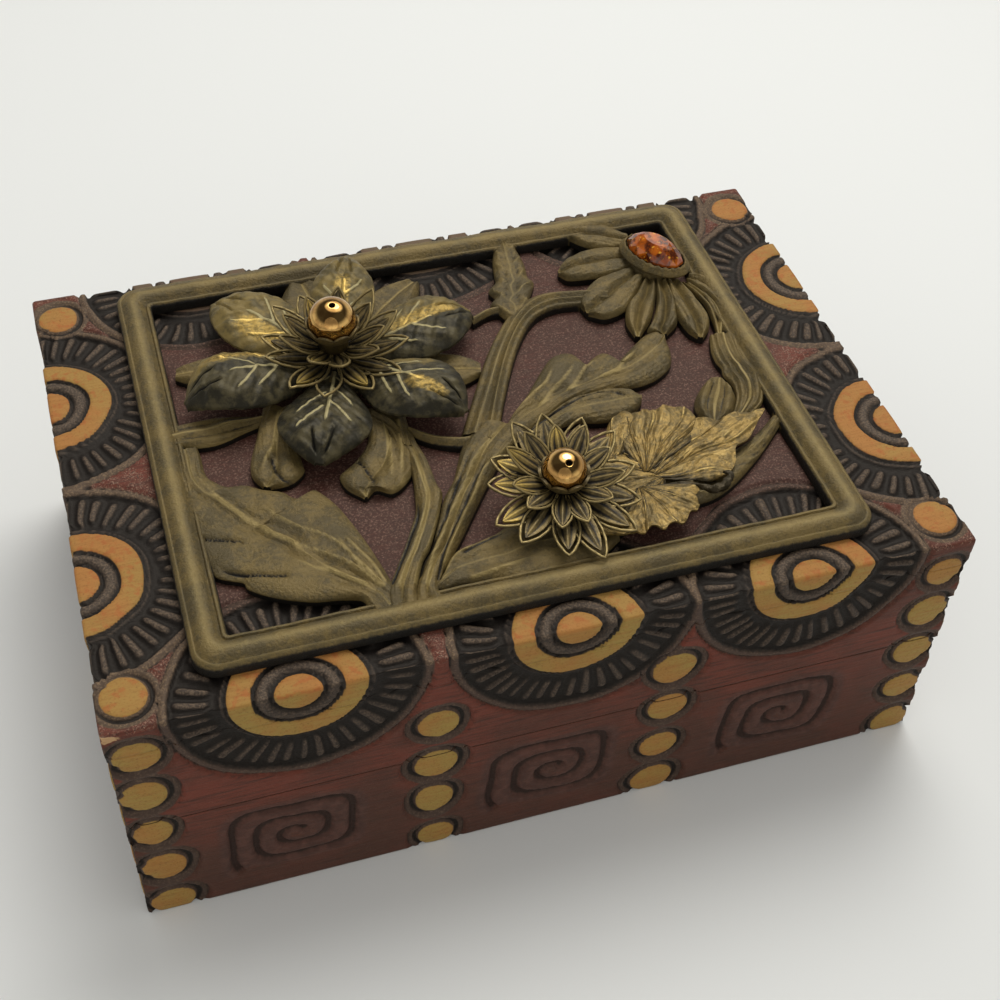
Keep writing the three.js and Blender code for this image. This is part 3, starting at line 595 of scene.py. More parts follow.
# Carves and rounds lattice points of the closed box: each outer face pushes in by its cut, fading over a few mm
# under the surface, and the arrises turn from square to round. Returns points and fields.
def shapeBox(q):
    halfX, halfY = wood["half"]
    top = wood["height"]
    sides = [
        (q[:, 1] + halfY, "long", q[:, 0], (0, 1, 0)),
        (halfY - q[:, 1], "back", -q[:, 0], (0, -1, 0)),
        (q[:, 0] + halfX, "short", -q[:, 1], (1, 0, 0)),
        (halfX - q[:, 0], "short", q[:, 1], (-1, 0, 0)),
        (top - q[:, 2], "top", None, (0, 0, -1)),
    ]
    moved = q.copy()
    fields = startFields(len(q))
    for under, kind, along, inward in sides:
        near = np.flatnonzero(under < wood["spread"])
        if not len(near):
            continue
        found = carvedTop(q[near, 0], q[near, 1]) if kind == "top" else carvedSide(kind, along[near], q[near, 2])
        moved[near] += (found["cut"] * (1 - under[near] / wood["spread"]))[:, None] * np.array(inward)
        skin = under[near] < 1e-6
        for key, values in found.items():
            fields[key][near[skin]] = np.maximum(fields[key][near[skin]], values[skin])
    middle = np.array([0, 0, top / 2])
    reach = np.array([halfX, halfY, top / 2])
    inner = np.clip(moved - middle, wood["arris"] - reach, reach - wood["arris"])
    beyond = moved - middle - inner
    square, length = np.abs(beyond).max(1), np.linalg.norm(beyond, axis=1)
    shrink = np.divide(square, length, out=np.ones_like(length), where=length > 1e-9)
    points = middle + inner + beyond * shrink[:, None]
    chip = wood["chip"]
    away = (q - (-halfX + chip["inset"], -halfY, top - chip["drop"])) / chip["size"]
    away[:, 1] += 0.3 * np.sin(4.1 * q[:, 0])
    away = np.linalg.norm(away, axis=1)
    points += (chip["depth"] * bell(away))[:, None] * np.array((0.3, 0.8, -0.5))
    fields["raw"] = 1 - away
    return points, fields


# A board as the closed surface of a block of lattice points. carved and rims name its fine faces; the others are
# plain and get long strips, with one polygon at each end.
def boardMesh(name, xs, ys, zs, carved, rims, materials):
    counts = (len(xs), len(ys), len(zs))
    keys, groups = [], []

    def faceIndex(axis, end, i, j):
        index = [None, None, None]
        index[axis] = np.full_like(i, (counts[axis] - 1) * end)
        others = [k for k in range(3) if k != axis]
        index[others[0]], index[others[1]] = i, j
        return (index[0] * counts[1] + index[1]) * counts[2] + index[2]

    for axis in range(3):
        others = [k for k in range(3) if k != axis]
        n, m = counts[others[0]], counts[others[1]]
        for end in (0, 1):
            side = "xyz"[axis] + "-+"[end]
            flip = (axis == 1) == (end == 1)
            if side in carved or side in rims:
                i, j = np.meshgrid(np.arange(n), np.arange(m), indexing="ij")
                grid = faceIndex(axis, end, i, j)
                faces = grid.ravel()[gridFaces(n, m)]
                groups.append((faces if flip else faces[:, ::-1], 0 if side in carved else 2, side in carved))
                continue
            coordinate = (xs, ys, zs)[others[0]]
            block = int(np.searchsorted(coordinate - coordinate[0], wood["endBlock"]))
            row = np.arange(n)
            low = faceIndex(axis, end, row, np.zeros(n, int))
            high = faceIndex(axis, end, row, np.full(n, m - 1))
            column = np.arange(m)
            first = faceIndex(axis, end, np.zeros(m, int), column)
            last = faceIndex(axis, end, np.full(m, n - 1), column)
            if n < 2 * block + 3:
                ends = [np.concatenate([low, last[1:-1], high[::-1], first[-2:0:-1]])]
            else:
                strips = np.stack([low[block:-block - 1], low[block + 1:n - block],
                                   high[block + 1:n - block], high[block:-block - 1]], -1)
                ends = [np.concatenate([low[:block + 1], high[block::-1], first[-2:0:-1]]),
                        np.concatenate([low[-block - 1:], last[1:-1], high[:-block - 2:-1]])]
                groups.append((strips[:, ::-1] if flip else strips, 1, False))
            groups.append(([e[::-1] for e in ends] if flip else ends, 1, False))
    used = np.unique(np.concatenate([np.concatenate([np.ravel(f) for f in g[0]]) for g in groups]))
    renumber = lambda faces: np.searchsorted(used, faces)
    groups = [(renumber(f) if isinstance(f, np.ndarray) else [renumber(p) for p in f], k, s) for f, k, s in groups]
    lattice = np.stack([xs[used // (counts[1] * counts[2])], ys[used // counts[2] % counts[1]],
                        zs[used % counts[2]]], -1)
    points, fields = shapeBox(lattice)
    return buildMesh(name, points, groups, materials, fields)


# Finishes of the wood. Pairs are the two ends of a blend; Side and Top are the walls and the lid's top, lit and
# shaded copies of one colour, the walls' copies darker as painted shade.
stain = {
    "ground": (linear(84, 44, 33), linear(104, 49, 36)),
    "streak": linear(58, 33, 26),
    "foot": linear(64, 43, 33),
    "dust": (linear(60, 42, 36), linear(152, 118, 98)),
    "roundSpirals": (linear(66, 44, 38), linear(84, 56, 48)),
    "rimShadedSide": (linear(66, 50, 42), linear(92, 74, 60)),
    "rimLitTop": (linear(84, 68, 54), linear(126, 104, 80)),
    "insidePlateAndShade": (linear(54, 36, 31), linear(118, 88, 76)),
    "char": (linear(28, 23, 20), linear(46, 37, 31)),
    "ridgeShadedSide": (linear(48, 39, 33), linear(84, 70, 58)),
    "ridgeLitTop": (linear(60, 50, 42), linear(102, 86, 70)),
    "ochreShadedSide": (linear(154, 112, 54), linear(148, 122, 60)),
    "ochreLitTop": (linear(164, 112, 56), linear(156, 120, 60)),
    "ochreStreak": linear(142, 96, 46),
    "ochrePatch": linear(160, 88, 42),
    "ochreSpeck": linear(112, 78, 40),
    "ochreWornAndShaded": linear(84, 74, 63),
    "pit": (linear(20, 15, 13), linear(52, 32, 26)),
    "torn": (linear(206, 172, 128), linear(150, 112, 74)),
    "varnish": (1.0, 0.92, 0.8, 1.0),
}


def carvedWood(name, along):
    made, tree = newMaterial(name)
    even = place(tree)
    streaks = noise(place(tree, [0.08 if k == along else 1.0 for k in "xyz"]), 1.6, 5.0, 0.6)
    broad, speckle, patches = noise(even, 0.09), noise(even, 2.6, 3.0, 0.7), noise(even, 0.7, 4.0)
    cut, ochre, burnt, halo, dusk, band, raw = (attribute(tree, k) for k in blank)
    ragged = (noise(even, 0.9) - 0.5) * 0.5
    across, deep, up = (node(tree, "SeparateXYZ", {"Vector": even}, k) for k in range(3))
    across, deep, behind = abs(across), abs(deep), deep
    high = fade(up, wood["height"] - 1.0, wood["height"] - 0.4)

    # ground: red-brown in broad clouds and streaks, darker at the foot, dusty in places
    colour = mix(fade(broad, 0.35, 0.65), *stain["ground"])
    colour = mix(fade(streaks, 0.42, 0.78), colour, stain["streak"])
    colour = mix(fade(up + ragged * 12.0, 34.0, 12.0) * 0.6, colour, stain["foot"])
    dust = mix(fade(noise(even, 4.0, 2.0, 0.6), 0.42, 0.6), *stain["dust"])
    spread = fade(patches, 0.3, 0.6) * (high * 0.85 + 0.1)
    colour = mix(fade(speckle, 0.42, 0.6) * spread, colour, dust)

    # brown round the spirals, grey rims of the dots, purple inside the plate's opening, darkened there as painted
    # shade
    drawn = fade(dusk + ragged, -0.4, 0.9)
    colour = mix(drawn * 0.7, colour, mix(fade(patches, 0.4, 0.65), *stain["roundSpirals"]))
    grit = fade(speckle, 0.46, 0.7)
    # grey rims lighter on the top than on the walls: lit and shaded copies, painted light and shade
    rim = mix(high, mix(grit, *stain["rimShadedSide"]), mix(grit, *stain["rimLitTop"]))
    colour = mix(fade(halo + ragged, -0.1, 0.25), colour, rim)
    # painted shade under the plate: the opening's ground is darkened over its purple speckle
    framed = fade(across, 51.0, 49.0) * fade(deep, 41.5, 39.5) * high
    purple = mix(fade(speckle, 0.5, 0.68), *stain["insidePlateAndShade"])
    colour = mix(framed * 0.72, colour, purple)

    # charred bands with grey ridges, lighter on the top than on the walls as painted light and shade
    char = mix(fade(patches, 0.35, 0.7), *stain["char"])
    worn = fade(speckle, 0.4, 0.65)
    ridge = mix(high, mix(worn, *stain["ridgeShadedSide"]), mix(worn, *stain["ridgeLitTop"]))
    depth = cut + ragged * 0.5
    char = mix((1.0 - fade(depth, 0.42, 0.78)) * band, char, ridge)
    colour = mix(fade(burnt + ragged, -0.15, 0.25), colour, char)

    # ochre, greyed along the lid's back edge and under the plate's back bar: worn paint at the edge, painted shade
    # under the bar
    # ochre lighter on the top and a little darker and yellower on the walls: lit and shaded copies of one paint
    yellow = mix(high, mix(fade(broad, 0.38, 0.6), *stain["ochreShadedSide"]),
                 mix(fade(broad, 0.4, 0.6), *stain["ochreLitTop"]))
    yellow = mix(fade(streaks, 0.42, 0.75) * 0.6, yellow, stain["ochreStreak"])
    yellow = mix(fade(patches, 0.5, 0.68) * (high * 0.5 + 0.15), yellow, stain["ochrePatch"])
    yellow = mix(fade(speckle, 0.52, 0.72) * 0.6, yellow, stain["ochreSpeck"])
    # greyed from 36 mm back: worn paint behind the plate, painted shade under its back bar
    back = fade(behind, 36.0, 38.0) * high * fade(across, 58.0, 56.0)
    yellow = mix(back * 0.85, yellow, stain["ochreWornAndShaded"])
    colour = mix(fade(ochre + ragged * 0.4, -0.06, 0.12), colour, yellow)

    # dark in the cuts, bare splinters in the chip
    colour = mix(fade(depth, 0.46, 0.82) * 0.94, colour, mix(drawn * 0.8, *stain["pit"]))
    torn = fade(raw + (streaks - 0.5) * 1.6, 0.15, 0.35)
    colour = mix(torn, colour, mix(streaks, *stain["torn"]))
    finishMaterial(tree, {"Base Color": colour, "Roughness": speckle * 0.3 + 0.5, "Specular IOR Level": 0.28,
                          "Specular Tint": stain["varnish"], "Normal": bump(streaks + speckle * 0.6, 0.8, 0.16)})
    return made


def bareWood(name, along, pale=linear(184, 148, 104), dark=linear(150, 112, 72), pore=linear(122, 88, 56)):
    made, tree = newMaterial(name)
    grain = place(tree, [0.05 if k == along else 1.0 for k in "xyz"])
    lines, pores = noise(grain, 0.55, 4.0, 0.6), noise(grain, 3.5, 2.0, 0.7)
    colour = mix(fade(pores, 0.55, 0.8), mix(fade(lines, 0.35, 0.68), pale, dark), pore)
    finishMaterial(tree, {"Base Color": colour, "Roughness": pores * 0.2 + 0.5, "Specular IOR Level": 0.35,
                          "Normal": bump(pores, 0.35, 0.1)})
    return made


def addBox():
    finishes = {k: [carvedWood("carvedWood" + k.upper(), k), bareWood("bareWood" + k.upper(), k),
                    bareWood("sawnWood" + k.upper(), k, *wood["sawn"])] for k in "xy"}
    halfX, halfY = wood["half"]
    insideX, insideY = wood["inside"]
    step = wood["carvedStep"]
    even = lambda a, b: stepsBetween(a, b, step, step, 0)
    walls = [  # name, span along X and Y, carved faces, grain
        ("front", (-halfX, halfX), (-halfY, -insideY), ("y-", "x-", "x+"), "x"),
        ("back", (-halfX, halfX), (insideY, halfY), ("y+", "x-", "x+"), "x"),
        ("left", (-halfX, -insideX), (-insideY, insideY), ("x-",), "y"),
        ("right", (insideX, halfX), (-insideY, insideY), ("x+",), "y"),
    ]
    for body, low, high in (("base", 0.0, wood["seam"]), ("lid", wood["seam"] + wood["sawCut"], wood["lidInside"])):
        for side, spanX, spanY, carved, grain in walls:
            name = f"{body}_{side}_wall"
            mesh = boardMesh(name, even(*spanX), even(*spanY), even(low, high), carved, ("z-", "z+"), finishes[grain])
            addPiece(name, "carved", mesh, body)
    spacing = wood["fineStep"], wood["coarseStep"], wood["fineBorder"]
    mesh = boardMesh("lid_top_panel", stepsBetween(-halfX, halfX, *spacing), stepsBetween(-halfY, halfY, *spacing),
                     even(wood["lidInside"], wood["height"]), ("x-", "x+", "y-", "y+", "z+"), (), finishes["x"])
    addPiece("lid_top_panel", "carved", mesh, "lid")
    repaint("base_bottom_panel", finishes["x"][1])
    print("box made")


# Finishes of the metal: two tones in clouds, a darker one in the hollows that is painted shade with some dark
# patina, and a lighter one where it is rubbed that is partly wear and partly a painted highlight
metals = {
    "castBrass": {"tones": (linear(108, 90, 47), linear(80, 68, 38)), "hollow": linear(14, 11, 7),
                  "rubbedAndLit": linear(152, 132, 80), "rub": 0.75, "metal": 0.3, "rough": 0.5,
                  "cloud": 0.16, "grain": 2.4, "bump": 0.9},
    "agedGilt": {"tones": (linear(112, 95, 56), linear(76, 65, 40)), "hollow": linear(16, 13, 9),
                 "rubbedAndLit": linear(160, 140, 90), "rub": 0.65, "metal": 0.6, "rough": 0.38,
                 "cloud": 0.5, "grain": 4.0, "bump": 0.25},
    "brightGilt": {"tones": (linear(138, 113, 60), linear(98, 82, 46)), "hollow": linear(46, 38, 20),
                   "rubbedAndLit": linear(212, 182, 112), "rub": 0.8, "metal": 0.6, "rough": 0.36,
                   "cloud": 0.3, "grain": 2.2, "bump": 1.0},
    "hingeBrass": {"tones": (linear(166, 134, 72), linear(136, 110, 62)), "hollow": linear(90, 70, 40),
                   "rubbedAndLit": linear(206, 176, 108), "rub": 0.5, "metal": 0.5, "rough": 0.4,
                   "cloud": 0.3, "grain": 3.0, "bump": 0.2},
}


def metal(name):
    look = metals[name]
    made, tree = newMaterial(name)
    where = place(tree)
    clouds, spots = noise(where, look["cloud"], 5.0, 0.62), noise(where, 1.2, 4.0, 0.7)
    grain = noise(where, look["grain"], 3.0, 0.6)
    ragged = (spots - 0.5) * 0.7
    colour = mix(fade(clouds + (spots - 0.5) * 0.6, 0.36, 0.64), *look["tones"])
    colour = mix(fade(attribute(tree, "gold") + ragged, 0.5, 1.0) * 0.85, colour, linear(188, 158, 76))
    # lighter where rubbed, partly wear and partly a painted highlight; near black in the hollows, painted shade
    colour = mix(fade(attribute(tree, "rub") + ragged, 0.35, 1.0) * look["rub"], colour, look["rubbedAndLit"])
    hollow = fade(attribute(tree, "hollow") + ragged * 0.7, 0.25, 0.8)
    colour = mix(hollow * 0.96, colour, look["hollow"])
    finishMaterial(tree, {"Base Color": colour, "Metallic": look["metal"],
                          "Roughness": grain * 0.3 + (look["rough"] - 0.05),
                          "Normal": bump(grain + spots, look["bump"], 0.14)})
    return made


tones = {
    "patina": (linear(34, 32, 24), linear(72, 65, 44)),
    "hollow": linear(14, 14, 13),
    "olive": (linear(116, 99, 56), linear(84, 74, 47)),
    "gilt": linear(156, 130, 70),
    "veins": (linear(158, 146, 104), linear(208, 176, 98)),
    "ball": (linear(214, 172, 104), linear(176, 134, 78)),
    "ballSpots": linear(96, 68, 36),
    "ballHole": linear(40, 26, 12),
    "amber": (linear(214, 112, 26), linear(150, 64, 12)),
    "amberDark": linear(84, 34, 8),
    "amberFoil": linear(238, 172, 56),
}


def petalPaint():  # blue-black patina, with gold on the raised veins and in the rubbed patches
    made, tree = newMaterial("petalPaint")
    where = place(tree)
    clouds, spots = noise(where, 0.35, 5.0, 0.65), noise(where, 1.5, 4.0, 0.7)
    hollow, rub, gold, vein = (attribute(tree, k) for k in ("hollow", "rub", "gold", "vein"))
    ragged = (spots - 0.5) * 0.8
    colour = mix(fade(clouds, 0.4, 0.62), *tones["patina"])
    # painted shade in the creases
    colour = mix(fade(hollow, 0.3, 0.8), colour, tones["hollow"])
    olive = mix(fade(clouds, 0.4, 0.6), *tones["olive"])
    gilt = mix(fade(spots, 0.34, 0.62), olive, tones["gilt"])
    bright = fade(gold + ragged * 0.7, 0.3, 0.9)
    colour = mix(bright, mix(fade(rub + ragged, 0.3, 0.6), colour, olive), gilt)
    line = fade(vein + ragged * 0.3, 0.35, 0.75)
    colour = mix(line, colour, mix(bright, *tones["veins"]))
    finishMaterial(tree, {"Base Color": colour, "Metallic": bright * 0.5 + 0.1, "Roughness": spots * 0.3 + 0.34,
                          "Specular IOR Level": 0.3, "Specular Tint": (1.0, 0.9, 0.7, 1.0),
                          "Normal": bump(spots, 0.6, 0.2)})
    return made


def ballPolish():
    made, tree = newMaterial("ballPolish")
    where = place(tree)
    clouds, spots = noise(where, 0.45, 4.0), noise(where, 3.0, 3.0, 0.7)
    colour = mix(fade(clouds, 0.4, 0.6), *tones["ball"])
    colour = mix(fade(spots, 0.6, 0.74), colour, tones["ballSpots"])
    # the bead's hole is painted dark as shade
    colour = mix(fade(attribute(tree, "hollow"), 0.3, 0.8), colour, tones["ballHole"])
    finishMaterial(tree, {"Base Color": colour, "Metallic": 1.0, "Roughness": fade(spots, 0.5, 0.8) * 0.3,
                          "Normal": bump(clouds, 0.1, 0.2)})
    return made


def amberGlass():  # foiled glass: bright crackle under a clear face
    made, tree = newMaterial("amberGlass")
    where = place(tree)
    cells = node(tree, "TexVoronoi", {"Vector": where, "Scale": 0.55})
    colour = mix(fade(cells, 0.15, 0.9), *tones["amber"])
    colour = mix(fade(noise(where, 0.5, 4.0, 0.6), 0.42, 0.6), colour, tones["amberDark"])
    colour = mix(fade(noise(where, 1.1, 3.0, 0.6), 0.6, 0.68), colour, tones["amberFoil"])
    finishMaterial(tree, {"Base Color": colour, "Roughness": 0.06, "IOR": 1.55, "Transmission Weight": 0.25,
                          "Coat Weight": 0.3, "Coat Roughness": 0.04})
    return made


# The metalwork on the lid. Leaves and petals are lofts between two smooth edges.
sampling = {"curve": 24, "stroke": 60, "strokeEnd": 16, "stem": (64, 25), "petal": 15, "corner": 9, "curl": (30, 14)}


def throughPoints(points, count):  # a Catmull-Rom curve through the points, in even steps of its length
    p = np.asarray(points, float)
    p = np.vstack([2 * p[0] - p[1], p, 2 * p[-1] - p[-2]])
    spans = len(p) - 3
    t = np.linspace(0, spans, spans * sampling["curve"] + 1)
    k = np.minimum(t.astype(int), spans - 1)
    f = (t - k)[:, None]
    a, b, c, d = p[k], p[k + 1], p[k + 2], p[k + 3]
    fine = 0.5 * (2 * b + (c - a) * f + (2 * a - 5 * b + 4 * c - d) * f ** 2 + (3 * b - a - 3 * c + d) * f ** 3)
    run = runAlong(fine)
    at = np.linspace(0, run[-1], count)
    return np.stack([np.interp(at, run, fine[:, i]) for i in range(p.shape[1])], -1)


def runAlong(line):  # length from the start to each point
    return np.concatenate([[0], np.cumsum(np.linalg.norm(np.diff(line, axis=0), axis=1))])


def sideways(line):  # unit vectors to the left of a flat curve
    way = np.gradient(line, axis=0)
    way /= np.linalg.norm(way, axis=1)[:, None]
    return np.stack([-way[:, 1], way[:, 0]], -1)[:, None]


def sheet(rows, columns):  # positions from 0 to 1 along a sheet and from -1 to 1 across it
    return np.linspace(0, 1, rows)[:, None], np.linspace(-1, 1, columns)[None, :]


def crossings(columns):  # positions from -1 to 1 across a strip, close together at both edges
    return np.sin(np.linspace(-math.pi / 2, math.pi / 2, columns))[None, :]


def hump(distance, width):
    return np.exp(-(distance / width) ** 2)


plateLow, plateHigh = corners("openwork_plate")
plate = {
    "centre": (plateLow + plateHigh)[:2] / 2,
    "half": (plateHigh - plateLow)[:2] / 2,
    "low": plateLow[2],
    "thick": plateHigh[2] - plateLow[2],
    "bar": 6.0,
    "corner": 4.0,
    "innerCorner": 0.5,
    "profile": (  # share of the bar's width from its inner edge, height as a share of the thickness
        [0, 0.0, 0.03, 0.08, 0.13, 0.17, 0.21, 0.27, 0.35, 0.44, 0.52, 0.6, 0.68, 0.75, 0.8, 0.84, 0.88, 0.94,
         0.98, 1, 1],
        [0, 0.5, 0.62, 0.7, 0.7, 0.62, 0.66, 0.83, 0.93, 0.985, 1, 0.985, 0.94, 0.86, 0.74, 0.69, 0.71, 0.64,
         0.52, 0.4, 0],
    ),
    # over the same shares: a painted highlight on the crest and edges, partly rubbed wear, and painted shade at the
    # edges and in the grooves
    "barRubAndSheen": ([0, 0.05, 0.1, 0.18, 0.3, 0.5, 0.7, 0.82, 0.88, 0.95, 1],
               [0, 0.5, 0.6, 0, 0.3, 0.75, 0.3, 0, 0.6, 0.3, 0]),
    "barShade": ([0, 0.06, 0.13, 0.17, 0.23, 0.78, 0.84, 0.88, 0.95, 1],
                  [1, 0.15, 0.1, 0.4, 0, 0, 0.35, 0.05, 0.1, 0.9]),
    "barStep": 1.3,
    "patch": (-9.6, 4.9),
    # height, radius and how much painted shade
    "pads": {"flower": (3.0, 6.0, 0.5), "stone": (plateHigh[2] - plateLow[2] - 0.05, 4.6, 0.1)},
}

# Leaf settings: edge is the height at the rim, crown the swelling between rim and rib, veins leave the rib at a
# slant, flutes run along it, tip is the height left at the end. All heights in mm.
leafLook = {"edge": 1.4, "crown": 1.0, "ribRise": 0.45, "veins": 0, "veinRise": 0.3, "slant": 1.2, "flutes": 0,
            "fluteDepth": 0.22, "tip": 0.75, "lip": 0.0, "lines": (), "creases": (), "lineRise": 0.4,
            "creaseDepth": 0.6, "seed": 0.0, "rows": 56, "columns": 27}


def onPlate(line, count):  # a smooth curve through a line given from the plate's centre
    return throughPoints(np.reshape(line, (-1, 2)) + plate["centre"], count)


petalLook = {"edge": 1.5, "crown": 0.75, "ribRise": -0.25, "flutes": 1.5, "fluteDepth": 0.2, "rows": 40,
             "columns": 29}
cornerLook = {"edge": 1.8, "crown": 1.0, "ribRise": -0.3, "lip": 0.25, "rows": 60, "columns": 37, "tip": 0.8}


def nearLines(xy, lines, width):  # 1 on the lines, which fade towards their far ends, down to 0 away from them
    near, steps = np.zeros(xy.shape[:2]), sampling["stroke"]
    for line in lines:
        gap = np.linalg.norm(xy[:, :, None] - onPlate(line, steps), axis=-1)
        ends = unit((steps - gap.argmin(-1)) / sampling["strokeEnd"]) ** 0.5
        near = np.maximum(near, hump(gap.min(-1), width) * ends)
    return near


def castLeaf(left, right, rib=None, **changes):
    look = {**leafLook, **changes}
    one, other = onPlate(left, look["rows"]), onPlate(right, look["rows"])
    middle = onPlate(rib, look["rows"]) if rib else (one + other) / 2
    u, v = np.linspace(0, 1, look["rows"])[:, None], crossings(look["columns"])
    reach = np.where(v[..., None] < 0, (one - middle)[:, None], (other - middle)[:, None])
    xy = middle[:, None] + reach * np.abs(v)[..., None]
    half = np.linalg.norm(reach, axis=-1)
    d, run = np.abs(v) * half, runAlong(middle)[:, None]
    soft = np.clip(half / 2.6, 0.1, 1)
    lip = np.sqrt(1 - np.abs(v) ** 12)
    swell = look["crown"] * soft * np.sin(math.pi * (0.1 + 0.86 * np.abs(v))) ** 0.9
    rise = look["ribRise"] * (hump(d, 0.5) - 0.5 * hump(d - 1.15, 0.55))
    vein = np.zeros_like(d)
    if look["veins"]:
        spacing = run[-1, 0] / look["veins"]
        step = (run - d * look["slant"] - 0.05 * d * d) / spacing + 0.3 * np.sign(v)
        off = (step - np.round(step)) * spacing / math.hypot(1, look["slant"])
        vein = (hump(off, 0.42) - 0.45 * hump(np.abs(off) - 0.95, 0.4)) * unit(d / 1.2) * unit(5 - 5 * np.abs(v))
    flow = np.cos(2 * math.pi * look["flutes"] * np.abs(v) + 0.5 * np.sin(6 * u + look["seed"]))
    flow = flow if look["flutes"] else 0 * d
    streak = 0.05 * np.sin(9 * d + 2 * np.sin(0.35 * run + look["seed"])) * unit(d)
    wander = 0.12 * np.sin(0.9 * xy[..., 0] + look["seed"]) * np.cos(0.8 * xy[..., 1] + 1.3 * look["seed"])
    ends = 1 - (1 - look["tip"]) * unit((u - 0.7) / 0.3) ** 2
    strokes, creases = nearLines(xy, look["lines"], 0.5), nearLines(xy, look["creases"], 0.34)
    rolled = hump((1 - np.abs(v)) * half - 0.45, 0.35)
    body = swell + rise + look["veinRise"] * vein + look["fluteDepth"] * flow * soft + wander + streak
    body = body + look["lineRise"] * strokes - look["creaseDepth"] * creases + look["lip"] * rolled
    z = plate["low"] + ends * (look["edge"] * (0.7 + 0.3 * lip) + body * lip)
    # painted highlight on the rib, veins, flute crests, strokes and lip, partly rubbed wear; painted shade in
    # grooves, creases and at the rim
    rub = 0.7 * hump(d, 0.4) + 0.75 * unit(vein) + 0.5 * unit(flow) ** 6 + 0.5 * hump(1 - np.abs(v), 0.06)
    rub = rub + 0.9 * strokes + 0.5 * rolled * (look["lip"] > 0)
    hollow = 0.3 * hump(d - 1.15, 0.4) * (look["ribRise"] > 0) + 0.35 * unit(-2 * vein)
    hollow = hollow + 0.4 * unit(-flow) ** 6 + 0.9 * creases + 0.3 * (1 - lip)
    return castShell(np.dstack([xy, z]), plate["low"], rub=rub, hollow=hollow)


# A strip along a curve. Its section is a half round with fine ridges that run along it.
def castStem(points, start, end, low=2.2, high=3.0, ridges=3, seed=0.0):
    rows, columns = sampling["stem"]
    line = onPlate(points, rows)
    u, v = np.linspace(0, 1, rows)[:, None], crossings(columns)
    xy = line[:, None] + sideways(line) * (v * (start + (end - start) * u))[..., None]
    wave = np.cos(math.pi * ridges * v + 0.7 * np.sin(5 * u + seed))
    arch = np.sqrt(1 - 0.97 * v ** 2)
    z = plate["low"] + 0.8 + (low + (high - low) * u - 0.8 + 0.24 * wave) * arch
    # painted highlight on the ridge crests, partly rubbed wear; painted shade in the troughs and down both sides
    return castShell(np.dstack([xy, z]), plate["low"], rub=0.75 * unit(wave) ** 4 * arch,
                     hollow=0.45 * unit(-wave) ** 4 + (1 - arch) ** 2)


# A petal of a cast flower: two rounded ribs side by side, swelling towards a blunt end
def castPetal(centre, turn, reach, half):
    u = np.linspace(0, 1, sampling["petal"])
    width = half * np.clip(np.sin(math.pi * unit(0.05 + 0.9 * u) ** 1.35), 0.06, 1) ** 0.8
    way = np.array([math.cos(math.radians(turn)), math.sin(math.radians(turn))])
    across = np.array([-way[1], way[0]])
    line = np.asarray(centre) - plate["centre"] + way * (u * reach)[:, None]
    line = line + across * (0.04 * reach * np.sin(math.pi * u) * math.sin(turn))[:, None]
    return castLeaf(line + across * width[:, None], line - across * width[:, None], seed=turn, **petalLook)


def aroundRectangle(half, corner, count):  # points round a rectangle with round corners
    arc = np.linspace(0, math.pi / 2, count)
    quarter = np.stack([np.cos(arc), np.sin(arc)], -1) * corner
    corner4 = ((1, 1, 1), (-1, 1, -1), (-1, -1, 1), (1, -1, -1))
    return np.concatenate([(np.array(half) - corner + quarter[::order]) * (sx, sy) for sx, sy, order in corner4])


# The plate's border: the bar's profile carried round the rectangle between its inner and outer outline
def castFrame():
    outer = aroundRectangle(plate["half"], plate["corner"], sampling["corner"])
    inner = aroundRectangle(plate["half"] - plate["bar"], plate["innerCorner"], sampling["corner"])
    gaps = np.linalg.norm(np.roll(outer, -1, axis=0) - outer, axis=1)
    parts = np.maximum(1, np.round(gaps / plate["barStep"])).astype(int)
    at = np.concatenate([k + np.arange(n) / n for k, n in enumerate(parts)])
    k, f = at.astype(int), (at % 1)[:, None]
    outer, inner = (p[k] * (1 - f) + p[(k + 1) % len(p)] * f + plate["centre"] for p in (outer, inner))
    share, high = (np.array(v) for v in plate["profile"])
    xy = inner[:, None] + (outer - inner)[:, None] * share[None, :, None]
    x, y = xy[..., 0], xy[..., 1]
    dents = 0.1 * np.sin(0.31 * x + 2) * np.cos(0.27 * y) + 0.05 * np.sin(1.3 * (x + y)) - 0.08
    middle, reach = plate["patch"]
    patch = 0.14 * (bell((x - middle) / reach) > 0.02) * (y < 0) * (share > 0.2) * (share < 0.8)
    z = plate["low"] + high * (plate["thick"] - 0.2) + np.where(high > 0.45, dents + patch, 0)
    rub, hollow = (np.interp(share, *plate[k]) for k in ("barRubAndSheen", "barShade"))
    return ringShell(np.dstack([xy, z]), True, rub=rub + 0 * z, hollow=hollow + 0 * z)


# The spray, each element from root to tip. Lines are x, y, x, y and so on, in mm from the plate's centre.
stems = [
    {"points": [-2.2, -8.4, 3.4, 2.4, 8.4, 11.4, 14.2, 19, 20, 22.6, 27, 22, 32, 20.6], "start": 2.3,
        "end": 1.6, "low": 2.6, "high": 2.6, "ridges": 2},
    {"points": [-0.4, -9.8, 5, 1.8, 10.6, 12.2, 15.8, 18.8, 21, 21.2, 27, 20.8, 32, 19.6], "start": 1.7,
        "end": 1.1, "low": 2.5, "high": 2.4, "ridges": 2, "seed": 2.0},
    {"points": [-12.4, -3.6, -8.8, -6.6, -4.6, -8.6, -1.4, -8.8], "start": 1.0, "end": 1.3, "low": 1.9,
        "high": 2.1, "ridges": 1},
    {"points": [5.6, 20.6, 9, 22.2, 12.6, 22.2], "start": 0.9, "end": 0.9, "low": 1.8, "high": 2.0,
        "ridges": 1},
    {"points": [-14.2, -8, -14.6, -3, -17.3, 1.1], "start": 1.6, "end": 1.8, "low": 2.6},
]
